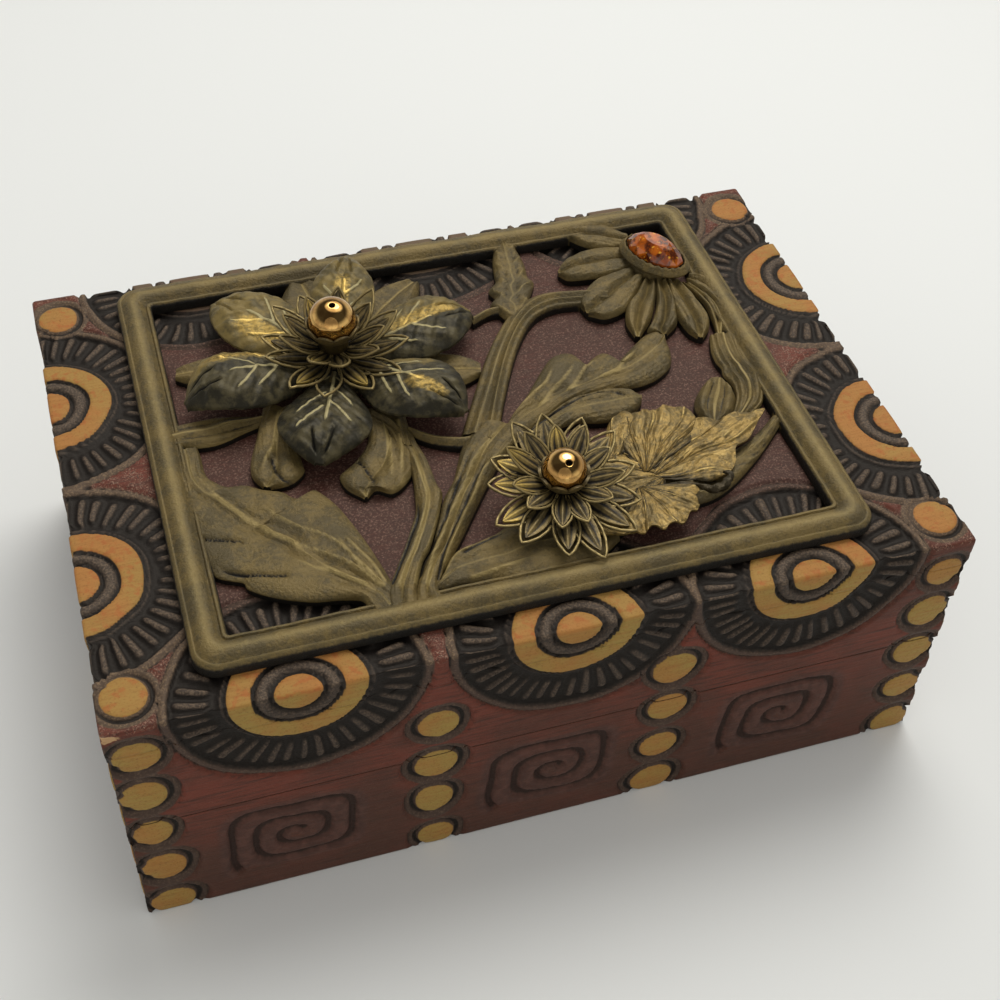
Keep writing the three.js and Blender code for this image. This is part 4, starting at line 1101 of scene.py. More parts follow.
castLeaves = [
    {"left": [-27.6, -40.8, -28, -38.8, -28.6, -37.1, -31.7, -36.1, -35.9, -35.3, -41.1, -33, -44.6, -30.4,
        -45.1, -28.9, -47, -27.9, -48.9, -26.7, -49.8, -24.4, -50.6, -22, -51.5, -16.1, -51.5, -7.6, -51.2,
        0.6], "right": [-21.5, -40.8, -23, -36.4, -23.8, -31.8, -25.4, -24.6, -27.7, -17.2, -30.1, -13, -31,
        -13.1, -32, -14.5, -34.4, -13.2, -35.5, -11.9, -38.5, -10.5, -40.9, -9, -43.8, -8.6, -46.6, -5.5,
        -46.9, -0.5, -47.1, 1.5], "lines": [[-25.3, -35.8, -28, -31.3, -30.6, -28.4, -34.9, -24.6, -38.7,
        -21.4, -41, -18.1, -43.3, -14.7, -46.1, -10.3, -48.2, -5.5, -48.6, -1.5], [-27.3, -31, -29.6, -25.6,
        -32.5, -22.6, -35.8, -19.9, -38.4, -16.5, -39.8, -13.6], [-24.8, -36, -26.8, -31.6, -28.7, -27.2,
        -29.4, -23.5], [-24.4, -35.3, -25.4, -31.1, -27.1, -27.2, -28.6, -23.9], [-27.3, -34.9, -30.7,
        -31.8, -34.6, -29, -37.7, -26]], "creases": [[-38.6, -30, -42.1, -28.8, -45.1, -27.7, -48.2, -25.9],
        [-51.5, -17.8, -48.9, -19.4, -45.9, -20.5, -43.1, -22.1]], "crown": 0.9, "tip": 1.0, "rows": 110,
        "columns": 61},
    {"left": [-51.3, 7, -44.3, 7.6, -38.3, 6.8, -32, 6], "right": [-51.3, 2.4, -44.3, 1.6, -38.3, 3.4, -32,
        5.2], "flutes": 1},
    {"left": [1.4, -9.8, 4.9, -5.7, 8.3, -2.1, 11, 1.2, 13.7, 4.5, 16.3, 7.3, 18.7, 8.2, 20.5, 7.8, 21.3,
        5.8, 21.4, 3.7, 23.5, 5.4, 25.8, 6.4, 26.7, 5, 26.7, 2.6, 28.9, 4.3, 31.9, 6.7, 34.7, 8.8, 36.8,
        9.1, 38.2, 7.7], "right": [2.9, -12.1, 6.9, -9.4, 11.1, -7.1, 15.8, -4.4, 19.1, -3.7, 22.7, -3.5,
        25.1, -3.3, 27, -3.4, 30.6, -3.2, 34, -1.9, 36.7, 0.4, 38, 4, 38.2, 7.3], "rib": [1.8, -11.2, 5.3,
        -7.4, 10.8, -4.4, 15.1, -2.6, 20.9, -0.8, 23.9, -0.2, 28.6, 0.9, 32, 2.4, 35.9, 4.9, 38.2, 7.5],
        "lines": [[4.7, -5.7, 7.4, -3.5, 10.3, -1.6, 13.3, 0.6, 15.1, 3.1, 16.4, 4.8], [10.9, -4.1, 14.1,
        -1.3, 16.7, 0.7, 18.8, 2.8, 19.9, 4.6], [16.7, -2, 19.5, 0.6, 21, 2.2, 22.9, 3.8, 24.4, 4.4], [23.8,
        -0.4, 26.7, 1, 29.3, 2.8, 31.7, 4.6]], "crown": 1.1, "tip": 0.95, "rows": 110, "columns": 49},
    {"left": [3.1, -11.6, 7.1, -8.9, 11.2, -6.5, 16.1, -3.8, 19.3, -3.1, 22.9, -2.9, 25.1, -3.4, 27.1, -4.5,
        28.6, -6.2], "right": [6.4, -13.1, 9.7, -11.2, 12.7, -9.7, 16, -9.4, 19.1, -10.2, 22.5, -10.5, 24.5,
        -10.1, 26.4, -9.3, 27.9, -8], "creases": [[6.8, -9.7, 11, -7.4, 15.5, -5.3, 18.9, -4.3, 21.8, -4.1,
        24.1, -4.8, 25.8, -6.5]], "crown": 1.1, "edge": 1.6, "tip": 1.1, "rows": 80, "columns": 41},
    {"left": [12.9, 17.5, 11.4, 21, 10.4, 24, 11.8, 25.6, 11.2, 28, 13.2, 30, 13.6, 32, 14.8, 37, 17.4, 43],
        "right": [14.5, 17.5, 16.4, 19.6, 18.4, 22, 17.8, 23.6, 20.1, 28, 19.6, 30, 20.1, 34, 19.9, 39,
        19.3, 43], "crown": 1.0, "veins": 6, "slant": 1.0, "tip": 1.0},
    {"left": [-16.8, -37.7, -15.1, -35.5, -13.2, -32.7, -11.4, -31.5, -8.3, -30.6, -5.2, -29.8, -3.2, -28.7,
        0.2, -27.6, 5.7, -28.4, 13.7, -31], "right": [-18.4, -38.4, -15.8, -38.4, -13.3, -38.4, -9.9, -38.9,
        -6.3, -39.4, -2.8, -39.9, 7.7, -39.4, 13.7, -36], "lines": [[-15.7, -36.3, -13.5, -33.8, -11.6,
        -32.4, -8.6, -31.7, -3.7, -29.8], [-11.4, -38, -9.6, -37.9, -6.7, -37.6, -3.8, -37.1, -1, -36.8]],
        "creases": [[-11, -32.8, -7.6, -31.4, -3.8, -30.3]], "crown": 1.0, "rows": 70, "columns": 35},
    {"left": [11.7, -29, 21.7, -26, 32.7, -24, 41.7, -21.4, 51.2, -14.6], "right": [13.7, -35, 23.7, -32.6,
        32.7, -31.4, 41.7, -25.6, 51.2, -17], "veins": 6, "slant": 1.8},
    {"left": [46.2, 5.4, 45, 1.8, 44.7, -1.1, 45, -3, 44.6, -4.8, 45.1, -7.4, 44.8, -9.7, 44.1, -11.4, 42.8,
        -13.6, 41.3, -15.3], "right": [50.6, 4.2, 50.1, -2.5, 50.9, -6.5, 50.4, -8.8, 49.5, -11, 48.4,
        -13.1, 46.7, -14.4, 44.5, -16], "flutes": 2, "crown": 1.0, "edge": 1.6, "tip": 1.0, "rows": 70,
        "columns": 41},
    {"left": [43.4, -5.9, 42.6, -5.3, 41.2, -5.5, 39.4, -6.9, 37.8, -8.7, 36.8, -10.4, 36.3, -12.2, 36.6,
        -14.3, 37.7, -15.5], "right": [43.8, -6, 44.4, -7.6, 44.6, -9.7, 44.2, -11.4, 43.2, -13.1, 42,
        -14.7, 40.4, -15.7, 38.9, -15.9], "flutes": 1.5, "crown": 1.3, "edge": 1.5, "tip": 1.0, "rows": 50,
        "columns": 35},
    {"left": [-25.6, -40.8, -24.3, -36.5, -22.4, -33.3, -19.5, -28.5, -17.7, -25.2, -16.1, -22.1, -15.2,
        -18.2, -14.4, -13, -14.2, -7, -14.3, -3.6], "right": [-20.3, -40.8, -19.9, -37.5, -17.8, -32.6, -16,
        -30.2, -13.3, -25.1, -11.8, -21.7, -10.8, -19.1, -11.1, -17.2, -11.2, -12, -11.9, -6.3, -12.3,
        -3.6], "lines": [[-22.5, -36.6, -18.4, -30, -15.4, -24.6, -13.6, -19.9, -13.2, -15.5, -13.5, -7.8],
        [-20, -36.8, -18.1, -33, -15.7, -29.5, -12.8, -24, -11.1, -19.6]], "creases": [[-23.4, -35.8, -20.6,
        -31.4, -18, -27.1, -16.1, -23.6, -15, -19.3]], "crown": 0.9, "edge": 1.7, "ribRise": 0, "tip": 1.0,
        "rows": 80, "columns": 35},
    {"left": [-21.2, -40.8, -20, -37.5, -17.8, -33.1, -15.7, -30.3, -13.2, -25.2, -10.9, -20.4, -8.3, -16.9,
        -5.5, -11.1, -3.6, -8.5, -0.9, -5.6], "right": [-16.4, -40.8, -16.8, -38.3, -15.3, -35.5, -13.6,
        -33.3, -11.2, -30.3, -8.4, -26.5, -4.5, -21.1, 0, -15.3, 3.1, -12.3, 8.3, -8.6], "lines": [[-18.2,
        -37.3, -15.8, -32, -12.9, -27.8, -10.3, -23.7, -7.1, -19.3, -3.8, -14, 0.5, -9.6, 3.4, -6.7],
        [-14.7, -34.2, -12.1, -30, -9.5, -26.2, -6.1, -21.7, -3.3, -17.1, 1.9, -12.8, 6.1, -9.2]],
        "creases": [[-18.9, -35.4, -15.7, -30.5, -12.4, -25.9, -10.2, -22.1, -7.2, -17.2, -3.9, -11.8],
        [-16.5, -36.6, -14.1, -31.9, -11.6, -28.2, -8.4, -23.7, -5.5, -19.2, -1.4, -13.9]], "crown": 1.0,
        "edge": 1.8, "ribRise": 0, "tip": 1.0, "rows": 80, "columns": 41},
    {"left": [-35, 7.8, -37.3, 1.3, -39.3, -4.1, -39.6, -7.4, -38.4, -10], "right": [-28.3, 6, -31, 1.6,
        -31.1, -6.3, -31.3, -8.4, -33.8, -10.4, -37.2, -10.5], "lines": [[-32.3, 5.5, -34.7, -1.4, -36.2,
        -3.9, -38.3, -7.7]], "creases": [[-35.9, -5, -35.8, -7.4, -35.1, -9.8, -33.5, -10.4]], "crown": 1.1,
        "ribRise": 0, "lip": 0.2, "columns": 35},
    {"left": [-19.2, 2.5, -19.3, -3.6, -22.5, -8.2, -25.4, -10.3, -26, -11.5, -25.3, -14.1, -23.1, -16.5],
        "right": [-11.9, 0.5, -12.4, -5.5, -13.8, -12, -15.7, -15.1, -18.5, -16.7, -20.8, -15.3, -22.6,
        -16.5], "lines": [[-16, -1.5, -16.8, -8.7, -18.4, -16.5], [-13.7, -2.1, -15, -9.2, -16.6, -15.5]],
        "creases": [[-22.4, -9.2, -21, -13.4, -21.3, -15.3]], "crown": 1.1, "ribRise": 0, "lip": 0.2,
        "columns": 35},
]
# Cast petals: direction in degrees, reach and half width
backPetals = [(167, 27.5, 4.6), (126, 27.5, 5.2), (92, 25.5, 6.4), (70, 27, 6.0), (46, 28, 4.8), (-14, 25.5, 5.4)]
cornerPetals = [  # both edges of each, from the stone to the tip
    ([41.7, 36.6, 38.2, 40.8, 34.2, 41.6, 30.8, 40.6], [40.7, 32.6, 36.2, 34, 32.7, 36.2, 30.4, 39.4]),
    ([40.7, 32, 37.2, 34, 33.2, 34.2, 28.7, 33, 25.6, 30.4], [40, 27.2, 35.2, 26.4, 30.3, 26.6, 26.7, 27.2,
        25.4, 29.2]),
    ([39.7, 27.2, 32.2, 25.8, 28.7, 23.4, 26.5, 20.2, 26.6, 18], [40.8, 24.2, 37.7, 20.2, 34, 16.2, 29.8,
        15, 27, 16.8]),
    ([40.7, 24, 37.2, 19.6, 34.4, 16.8, 32.8, 12.6, 33.1, 9], [42.4, 22.7, 41, 19, 39.7, 16.2, 37.2, 12, 34,
        8.6]),
    ([42.2, 22.6, 40.2, 16.6, 37.6, 12, 35.7, 9.5, 37.8, 8.2], [44.2, 21.7, 43.8, 17, 42.9, 13.2, 41.6, 10,
        39, 8]),
    ([44.2, 21.8, 43, 16.6, 42.4, 12.5, 42.8, 8, 44, 5.8], [46.5, 21.2, 47.5, 16, 48.1, 11, 47, 7.6, 45,
        5.4]),
    ([46.7, 20.6, 48.6, 14.6, 48.2, 8.6, 47.8, 5.8], [48.2, 19.8, 50.4, 14.6, 50.2, 9, 48.8, 5.6]),
    ([47.7, 20.6, 49.8, 16, 50.8, 12, 51.6, 10.2], [49.2, 22.6, 52.6, 20, 53.4, 15.6, 53, 11.5]),
]
ballPlaces = {k: sum(corners(f"{k}_flower_ball")) / 2 for k in ("large", "small")}
stonePlace = sum(corners("amber_stone")) / 2


def castPad(centre, height, r, hollow):  # a low round seat
    top = plate["low"] + height
    profile = [(0.3, top), (r * 0.9, top), (r * 0.97, top - 0.12), (r, top - 0.5), (r, plate["low"]),
               (0.3, plate["low"])]
    # the seat is painted darker as shade under its flower or stone
    return turned(profile, 48, centre, hollow=hollow)


def addPlate(finish):
    shells = [castFrame()] + [castStem(**s) for s in stems]
    shells += [castLeaf(**one, seed=float(n)) for n, one in enumerate(castLeaves)]
    shells += [castPetal(ballPlaces["large"][:2], *p) for p in backPetals]
    shells += [castLeaf(*p, seed=0.7 * n, **cornerLook) for n, p in enumerate(cornerPetals)]
    for centre, pad in ((ballPlaces["large"], "flower"), (ballPlaces["small"], "flower"), (stonePlace, "stone")):
        shells.append(castPad(centre[:2], *plate["pads"][pad]))
    addPiece("openwork_plate", "cast", melt("openwork_plate", shells, finish, seam=0.3), "lid")
    print("plate made")


# Painted petals of the large flower. Each is a thin sheet over u along it and v across it.
painted = {
    "base": corners("large_flower_petals")[0][2] + 0.1,
    "turn": 12,
    "start": 2.2,
    "reach": (27.0, 26.6, 26.6, 27.2, 26.3, 26.9),
    "half": (7.5, 5.6, 7.2, 7.4, 7.7, 7.6),
    "crest": 0.72,
    "bends": [(3.0, 0.6, 1.6), (2.8, 2.0, 1.4), (2.8, 0.6, 1.4), (5.6, 1.4, 2.6), (3.2, 1.6, 1.6), (4.6, 2.0, 1.8)],
    "fullness": 1.35,
    "thick": 0.5,
    "veinAt": (0.1, 0.29, 0.47),
    # patches: middle along and across the petal, and reach along and across
    "olive": [(0.55, 0.6, 0.6, 0.55), (0.5, 0.0, 0.6, 1.2), (0.55, 0.0, 0.6, 1.2), (0.5, -0.8, 0.6, 0.5),
              (0.1, 0, 0.1, 0.1), (0.3, 0.7, 0.3, 0.3)],
    "gold": [(0.62, 0.12, 0.3, 0.24), (0.5, 0.0, 0.26, 0.3), (0.46, 0.4, 0.24, 0.36), (0.55, -0.62, 0.3, 0.22),
             (0, 0, 0.01, 0.01), (0.7, -0.12, 0.17, 0.24)],
    "knobs": ((0.82, 0.4, 1.0), (0.82, -0.42, 1.0), (0.9, 0.02, 0.9), (0.68, 0.66, 1.1), (0.66, -0.66, 1.1)),
    "relief": (0.26, 0.22, 0.4, 0.45, -0.5),  # midrib, veins, pads, knobs, creases
    "hub": (1.4, 5.2, 0.6),  # bore, radius, thickness
    "rows": 100,
    "columns": 57,
}


# It climbs to its crest and bends down to its tip; its sides droop. Veins are thin raised strokes.
def paintedPetal(k):
    u, v = sheet(painted["rows"], painted["columns"])
    turn, half = math.radians(painted["turn"] + 60 * k), painted["half"][k]
    reach = painted["reach"][k] - painted["start"]
    r = painted["start"] + reach * u
    swell = np.clip(np.sin(math.pi * np.clip(u, 0.03, 0.995) ** painted["fullness"]), 0.05, 1) ** 0.72
    w = v * half * swell * (1 + 0.025 * np.sin(9 * u + 2 * k) * np.abs(v))
    arch, tip, droop = painted["bends"][k]
    past = np.clip((u - painted["crest"]) / (1 - painted["crest"]), 0, None)
    rise = arch * np.sin(math.pi / 2 * np.minimum(1, u / painted["crest"])) ** 1.3 - (arch - tip) * past ** 2
    z = painted["base"] + 0.55 + rise - droop * v ** 2 * np.sin(math.pi * u)
    d = np.abs(w)
    midrib = hump(w + 0.5 * np.sin(2.4 * u + k), 0.34) * unit((0.7 - u) / 0.05)
    veins, nearest = np.zeros_like(w), np.full_like(w, 9.0)
    for j, at in enumerate(painted["veinAt"]):
        for side in (-1, 1):
            root = at + 0.04 * side * math.cos(2 * k + j)
            off = (r - painted["start"] - reach * root - 0.95 * d - 0.06 * d * d) * 0.72
            off = np.where(v * side > 0, off, 9.0)
            fadeOut = unit(d / 0.5) * unit((0.66 - np.abs(v)) / 0.08)
            veins = np.maximum(veins, hump(off, 0.3) * fadeOut)
            nearest = np.minimum(nearest, np.abs(off) + 9 * (np.abs(v) > 0.98))
    pads = unit(nearest / 2.2) ** 2 * unit(1.3 * (1 - np.abs(v))) * unit(d / 1.5)
    knobs = sum(hump(np.hypot((u - a) * reach / 1.5, w - b * half), c) for a, b, c in painted["knobs"])
    crease = (hump(w - 0.28 * half * swell, 0.24) + hump(w + 0.25 * half * swell, 0.24)) * unit((u - 0.72) / 0.06)
    crease = crease * unit((0.97 - u) / 0.05)
    relief = sum(high * part for high, part in zip(painted["relief"], (midrib, veins, pads, knobs, crease)))
    relief = relief + 0.12 * np.sin(1.7 * r + 2 * k) * np.sin(1.9 * w + k) + 0.07 * np.sin(3.1 * r - 2.3 * w + k)
    z = z + relief * unit(u / 0.25) - 0.5 * np.abs(v) ** 9 - 0.5 * u ** 14 + 0.1 * np.sin(5 * u + 3 * v + k)
    patches = {}
    for key in ("olive", "gold"):
        a, b, ra, rb = painted[key][k]
        patches[key] = np.exp(-((u - a) / ra) ** 4 - ((v - b) / rb) ** 4)
    centre = ballPlaces["large"]
    top = np.dstack([centre[0] + r * math.cos(turn) + w * -math.sin(turn),
                     centre[1] + r * math.sin(turn) + w * math.cos(turn), z])
    # painted shade in the creases and in the troughs beside the veins
    dark = unit(crease + hump(nearest - 0.75, 0.3) * (1 - veins) * 0.5)
    return sheetShell(top, top - (0, 0, painted["thick"]), vein=np.maximum(midrib, veins), rub=patches["olive"],
                      gold=patches["gold"], hollow=dark)


def washer(centre, inside, outside, low, high):  # a flat ring with softened edges
    profile = [(inside, low), (outside, low), (outside + 0.1, (low + high) / 2), (outside, high), (inside, high)]
    r, z = columnsOf(profile)
    # the whole ring is painted darker as shade under its flower
    return ringShell(around(centre, r, circle(40), z).transpose(1, 0, 2), True, hollow=0.6)


# Filigree: each petal is a wire bent to a pointed loop, with a smaller ridged leaf inside it
tiers = {
    "large_flower_lower_filigree": {"count": 12, "turn": 14, "reach": 13.2, "half": 2.1, "rise": 4.2, "bend": 1.3,
                                    "wire": 0.25, "fill": (0.64, 0.8), "open": (1, 4, 8), "bright": 0.12, "tilt": 6,
                                    "lift": 0.4, "golden": (7, 9), "uneven": 0.9},
    "large_flower_upper_filigree": {"count": 9, "turn": 30, "reach": 9.6, "half": 1.8, "rise": 5.0, "bend": 1.5,
                                    "wire": 0.25, "fill": (0.7, 0.86), "open": (), "bright": 0.2, "tilt": 6,
                                    "lift": 1.4, "golden": (2, 5), "uneven": 0.8},
    "small_flower_lower_filigree": {"count": 13, "turn": 4, "reach": 13.2, "half": 2.1, "rise": 1.1, "bend": 1.4,
                                    "wire": 0.25, "fill": (0.74, 0.84), "open": (), "bright": 0.25, "tilt": 14,
                                    "lift": 1.7, "golden": (5, 6, 7), "uneven": 0.9},
    "small_flower_upper_filigree": {"count": 11, "turn": 18, "reach": 9.8, "half": 1.6, "rise": 2.8, "bend": 1.3,
                                    "wire": 0.22, "fill": (0.78, 0.88), "open": (), "bright": 0.25, "tilt": 14,
                                    "lift": 1.31, "golden": (4, 5, 2), "uneven": 0.9},
}
tierHub = {"start": 1.5, "hub": 3.4, "bore": 1.4, "thick": 0.6, "wireSteps": 50, "wireSides": 9, "loopSteps": 400,
           "sway": 3.5, "shorten": 1.3, "bend": 0.7, "leafGrid": (26, 17), "leafStart": 0.6, "leafThick": 0.4}


def loopWidth(half, share):  # across a pointed loop, from its root to its tip
    return half * 3.5 * share ** 0.95 * (1 - share) ** 0.85


def wireLoop(path, radius, turn):  # a round wire along a closed path, with the fine twist of a rope
    way = np.roll(path, -1, axis=0) - np.roll(path, 1, axis=0)
    way /= np.linalg.norm(way, axis=1)[:, None]
    side = np.cross(way, (0, 0, 1.0))
    side /= np.linalg.norm(side, axis=1)[:, None]
    up = np.cross(side, way)
    about = circle(tierHub["wireSides"])[None, :]
    step = np.arange(len(path))[:, None]
    r = radius * (1 + 0.1 * np.sin(about * 2 + step * 1.6 + turn))
    ring = path[:, None] + side[:, None] * (r * np.cos(about))[..., None]
    ring = ring + up[:, None] * (r * np.sin(about))[..., None]
    # the wire's upper half is painted lighter as highlight, partly rubbed wear, and its underside painted dark as
    # shade
    return ringShell(ring, True, rub=0.35 + 0.65 * unit(np.sin(about)) + 0 * step,
                     hollow=unit(-np.sin(about)) + 0 * step, gold=0.5 + 0 * r)


def addTier(name, finish):
    look = tiers[name]
    centre = ballPlaces[name.split("_")[0]]
    low, high = corners(name)
    slope = math.tan(math.radians(look["tilt"]))
    base = low[2] + look["lift"] + 0.05
    start, reach = tierHub["start"], look["reach"]

    def lift(r, w, turn):  # a petal's own place to the lid's
        x, y = r * math.cos(turn) - w * math.sin(turn), r * math.sin(turn) + w * math.cos(turn)
        u = unit((r - start) / (reach - start))
        return np.stack([centre[0] + x, centre[1] + y, base + look["rise"] * u ** look["bend"] + slope * y], -1)

    shells, uneven = [], look["uneven"]
    t = circle(tierHub["loopSteps"])
    share = 0.5 - 0.5 * np.cos(t)
    across = loopWidth(look["half"], share) * np.sign(np.sin(t))
    for k in range(look["count"]):
        turn = math.radians(look["turn"] + 360 / look["count"] * k + tierHub["sway"] * uneven * math.sin(2.9 * k))
        length = reach - start - look["wire"] - tierHub["shorten"] * uneven * (0.5 + 0.5 * math.sin(4.3 * k))
        length *= 1 + 0.13 * max(0, -math.sin(turn)) * (look["reach"] > 12)
        bent = uneven * tierHub["bend"] * math.sin(5.3 * k + look["turn"])
        flat = np.stack([start + length * share, across], -1)
        flat = np.vstack([flat, flat[:1]])
        run = runAlong(flat)
        at = np.linspace(0, run[-1], tierHub["wireSteps"], endpoint=False)
        r, w = (np.interp(at, run, flat[:, i]) for i in (0, 1))
        path = lift(r, w, turn)
        path[:, 2] += bent * ((r - start) / length) ** 2
        shells.append(wireLoop(path + (0, 0, look["wire"]), look["wire"], turn))
        if k in look["open"]:
            continue
        u, v = sheet(*tierHub["leafGrid"])
        wide, long = look["fill"]
        w = v * look["half"] * wide * np.clip(loopWidth(1, u), 0.05, 1)
        top = lift(start + tierHub["leafStart"] + length * long * u + 0 * v, w, turn)
        ridge = np.cos(2 * math.pi * v + 0.3 * math.sin(k))
        crown = (0.3 * (1 - v ** 2) + 0.14 * ridge) * np.sin(math.pi * u)
        top[..., 2] += look["wire"] * 0.9 + 0.1 + crown + bent * (long * u) ** 2
        gold = 0.85 if k in look["golden"] else look["bright"] * (1 + math.sin(3.1 * k + look["turn"]))
        # painted highlight on the ridges, partly rubbed wear; painted shade in the furrows and towards the root
        shells.append(sheetShell(top, top - (0, 0, tierHub["leafThick"]), gold=gold * (0.4 + 0.6 * u) + 0 * w,
                                 rub=0.7 * unit(ridge) * np.sin(math.pi * u) + 0 * w,
                                 hollow=unit(0.7 * unit(-ridge) + 0.7 * (1 - u) ** 2) + 0 * w))
    hub = washer(centre, tierHub["bore"], tierHub["hub"], base, base + tierHub["thick"])
    hub["points"] = hub["points"] + (0, 0, 1) * (slope * (hub["points"][:, 1:2] - centre[1]))
    shells.append(hub)
    if name == "small_flower_upper_filigree":
        shells.append(cupShell(centre, base + 0.5, corners("small_flower_ball")))
    addPiece(name, "wire", melt(name, shells, finish), "lid")


# A scalloped cup under a ball: its wall follows the ball, and its rim is cut into small rounded lobes
cup = {"foot": 2.6, "gap": 0.25, "wall": 0.45, "top": -0.2, "lobes": 9, "bore": 1.4, "grid": (12, 90)}


def cupShell(centre, base, ball):
    radius, middle = (ball[1][0] - ball[0][0]) / 2, (ball[0][2] + ball[1][2]) / 2
    turn = circle(cup["grid"][1])[None, :]
    scallop = np.abs(np.cos(cup["lobes"] * turn / 2)) ** 0.7
    inner, outer = radius + cup["gap"], radius + cup["gap"] + cup["wall"]
    share = np.linspace(0, 1, cup["grid"][0])[:, None]
    rimHeight = radius * (cup["top"] - 0.2 * (1 - scallop))
    lowIn, lowOut = (-math.sqrt(r ** 2 - cup["foot"] ** 2) for r in (inner, outer))
    zIn, zOut = (z + (rimHeight - z) * share for z in (lowIn, lowOut))
    rIn, rOut = np.sqrt(inner ** 2 - zIn ** 2), np.sqrt(outer ** 2 - zOut ** 2)
    r = np.concatenate([cup["bore"] + 0 * turn, rIn, rOut[::-1], cup["foot"] + 0 * turn, cup["bore"] + 0 * turn])
    z = np.concatenate([lowIn + 0 * turn, zIn, zOut[::-1], *[base - middle + 0 * turn] * 2])
    # the lobes are painted lighter as highlight, partly rubbed wear, and the dips between them darker as shade
    return ringShell(around(centre, r, turn, middle + z), True, rub=0.4 * scallop + 0 * r,
                     hollow=0.4 - 0.3 * scallop + 0 * r, gold=0.4)


# Beads are drilled: the hole's mouth leans to the front, and the hole's inside is painted dark as shade
bead = {"hole": 0.42, "mouth": 0.7, "deep": 0.9, "lean": {"large": 11.0, "small": 27.0}, "drop": 0.6,
        "grid": (48, 96)}


def addBall(name, finish):
    low, high = corners(name)
    radius, centre = (high[0] - low[0]) / 2, (low + high) / 2 - (0, 0, bead["drop"])
    lift = np.linspace(-math.pi / 2 + 0.02, math.acos(bead["mouth"] / radius), bead["grid"][0])
    dome = [(radius * math.cos(a), radius * math.sin(a)) for a in lift]
    edge = dome[-1][1]
    mouth = [(0.6, edge + 0.02), (0.5, edge - 0.06), (bead["hole"], edge - 0.2), (bead["hole"], edge - bead["deep"]),
             (0.1, edge - bead["deep"] - 0.1)]
    shell = turned(dome + mouth, bead["grid"][1], (0, 0))
    x, y, z = shell["points"].T
    lean = math.radians(bead["lean"][name.split("_")[0]])
    leant = [x, y * math.cos(lean) - z * math.sin(lean), y * math.sin(lean) + z * math.cos(lean)]
    shell["points"] = np.stack(leant, -1) + centre
    inside = np.hypot(x, y) < bead["mouth"] * 0.8
    shell["fields"]["hollow"] = np.where(inside & (z > 0), 1.0, 0.0)
    addPiece(name, "bead", shellMesh(name, shell, [finish]), "lid")


# The gilt leaf: overlapping lobes, each a sheet from its root to its rim, with ridges that run out like a fan
leafBox = corners("gilt_leaf")
giltLeaf = {
    "base": leafBox[0][2] + 0.35,
    "thick": 0.35,
    "lobes": [
        {"root": (24.5, -26), "ridges": 6, "lift": 0.1, "rim": [25, -19, 14, -15, 8, -18, 5.2, -23, 5.4,
            -29, 9, -34, 14, -36.2, 22.5, -33]},
        {"root": (14, -23.6), "ridges": 2, "lift": 0.45, "rim": [16.5, -18, 18.6, -14, 20.6, -11.2, 23,
            -10.4, 24, -12.6, 22.8, -15.6, 20.9, -18.4]},
        {"root": (21.8, -25.8), "ridges": 3.4, "lift": 0.15, "rim": [30.4, -21.6, 31.8, -18.6, 33, -15.8,
            36.1, -15, 38.4, -15.9, 41.3, -15.2, 43.8, -15.7, 46.6, -15.8, 44.6, -17.9, 43.2, -19.4, 40.9,
            -21.8, 38.1, -23.2, 37, -25.9, 34.6, -28.2, 31, -28.8]},
        {"root": (21.4, -25), "ridges": 4.5, "lift": 0.6, "rim": [19.4, -18.6, 21.6, -14.6, 23.6, -11.2,
            25.4, -11.5, 26.9, -10.9, 28.8, -11.3, 30.4, -11, 32.3, -11.9, 34, -13.1, 34.1, -15.2, 32.6,
            -17.5, 31.2, -20.1]},
        {"root": (19.4, -27.2), "ridges": 4.4, "lift": 0.75, "rim": [28, -28.4, 28.6, -30.4, 27.3, -32, 27,
            -34.2, 25, -35.3, 23.6, -36.6, 21.4, -36.4, 19.9, -37.2, 18.2, -36.2, 16.6, -37, 14.6, -36.4,
            13.2, -34.6, 12.4, -32]},
    ],
    "curl": {"points": [28.2, -29.6, 30, -31.2, 31.9, -31.4, 33.5, -30.4, 34.6, -29, 33.6, -28.2],
        "radius": 0.75},
}


def giltLobe(root, rim, ridges, lift, seed):
    s, t = np.linspace(0.05, 1, 56)[:, None], np.linspace(0, 1, 50 + int(22 * ridges))[None, :]
    line = throughPoints(np.reshape(rim, (-1, 2)), t.size)
    reach = (line - root)[None]
    far = s * np.linalg.norm(reach, axis=-1)
    phase = 2 * math.pi * ridges * t + 0.7 * np.sin(0.45 * far + seed) + 0.5 * math.sin(seed)
    vein = unit(np.cos(phase)) ** 24
    puff = 0.5 - 0.5 * np.cos(phase)
    grow = unit(far / 8)
    side = (2 * np.abs(t - 0.5)) ** 6
    ruffle = s ** 7 * (0.3 * np.sin(1.5 * phase + seed) - 0.25)
    wrinkle = 0.05 * np.sin(3.3 * phase + 0.9 * far + 2 * np.sin(0.8 * far)) * grow
    wrinkle = wrinkle + 0.05 * np.sin(1.9 * far + 3 * np.sin(phase) + seed) * np.sin(2.3 * phase + 0.5 * far)
    z = giltLeaf["base"] + lift * (0.35 + 0.65 * s) + grow * (0.34 * puff + 0.26 * vein)
    z = z + wrinkle + ruffle - 0.35 * side
    top = np.dstack([np.array(root) + reach * s[..., None], z])
    patchy = 0.5 + 0.5 * np.sin(0.8 * far + 2 * seed) * np.cos(2.1 * phase / ridges)
    # painted highlight on the ridges, puffs and wrinkles, partly rubbed gilt; painted shade in the furrows, at the
    # side edges and at the root
    return sheetShell(top, top - (0, 0, giltLeaf["thick"]),
                      rub=unit((0.8 * vein + 0.45 * puff + 2.5 * wrinkle) * (0.4 + 0.8 * patchy)),
                      hollow=unit(0.6 * hump(puff - 0.12, 0.12) * (1 - 0.6 * s) + 0.8 * side + 0.4 * (1 - grow)))


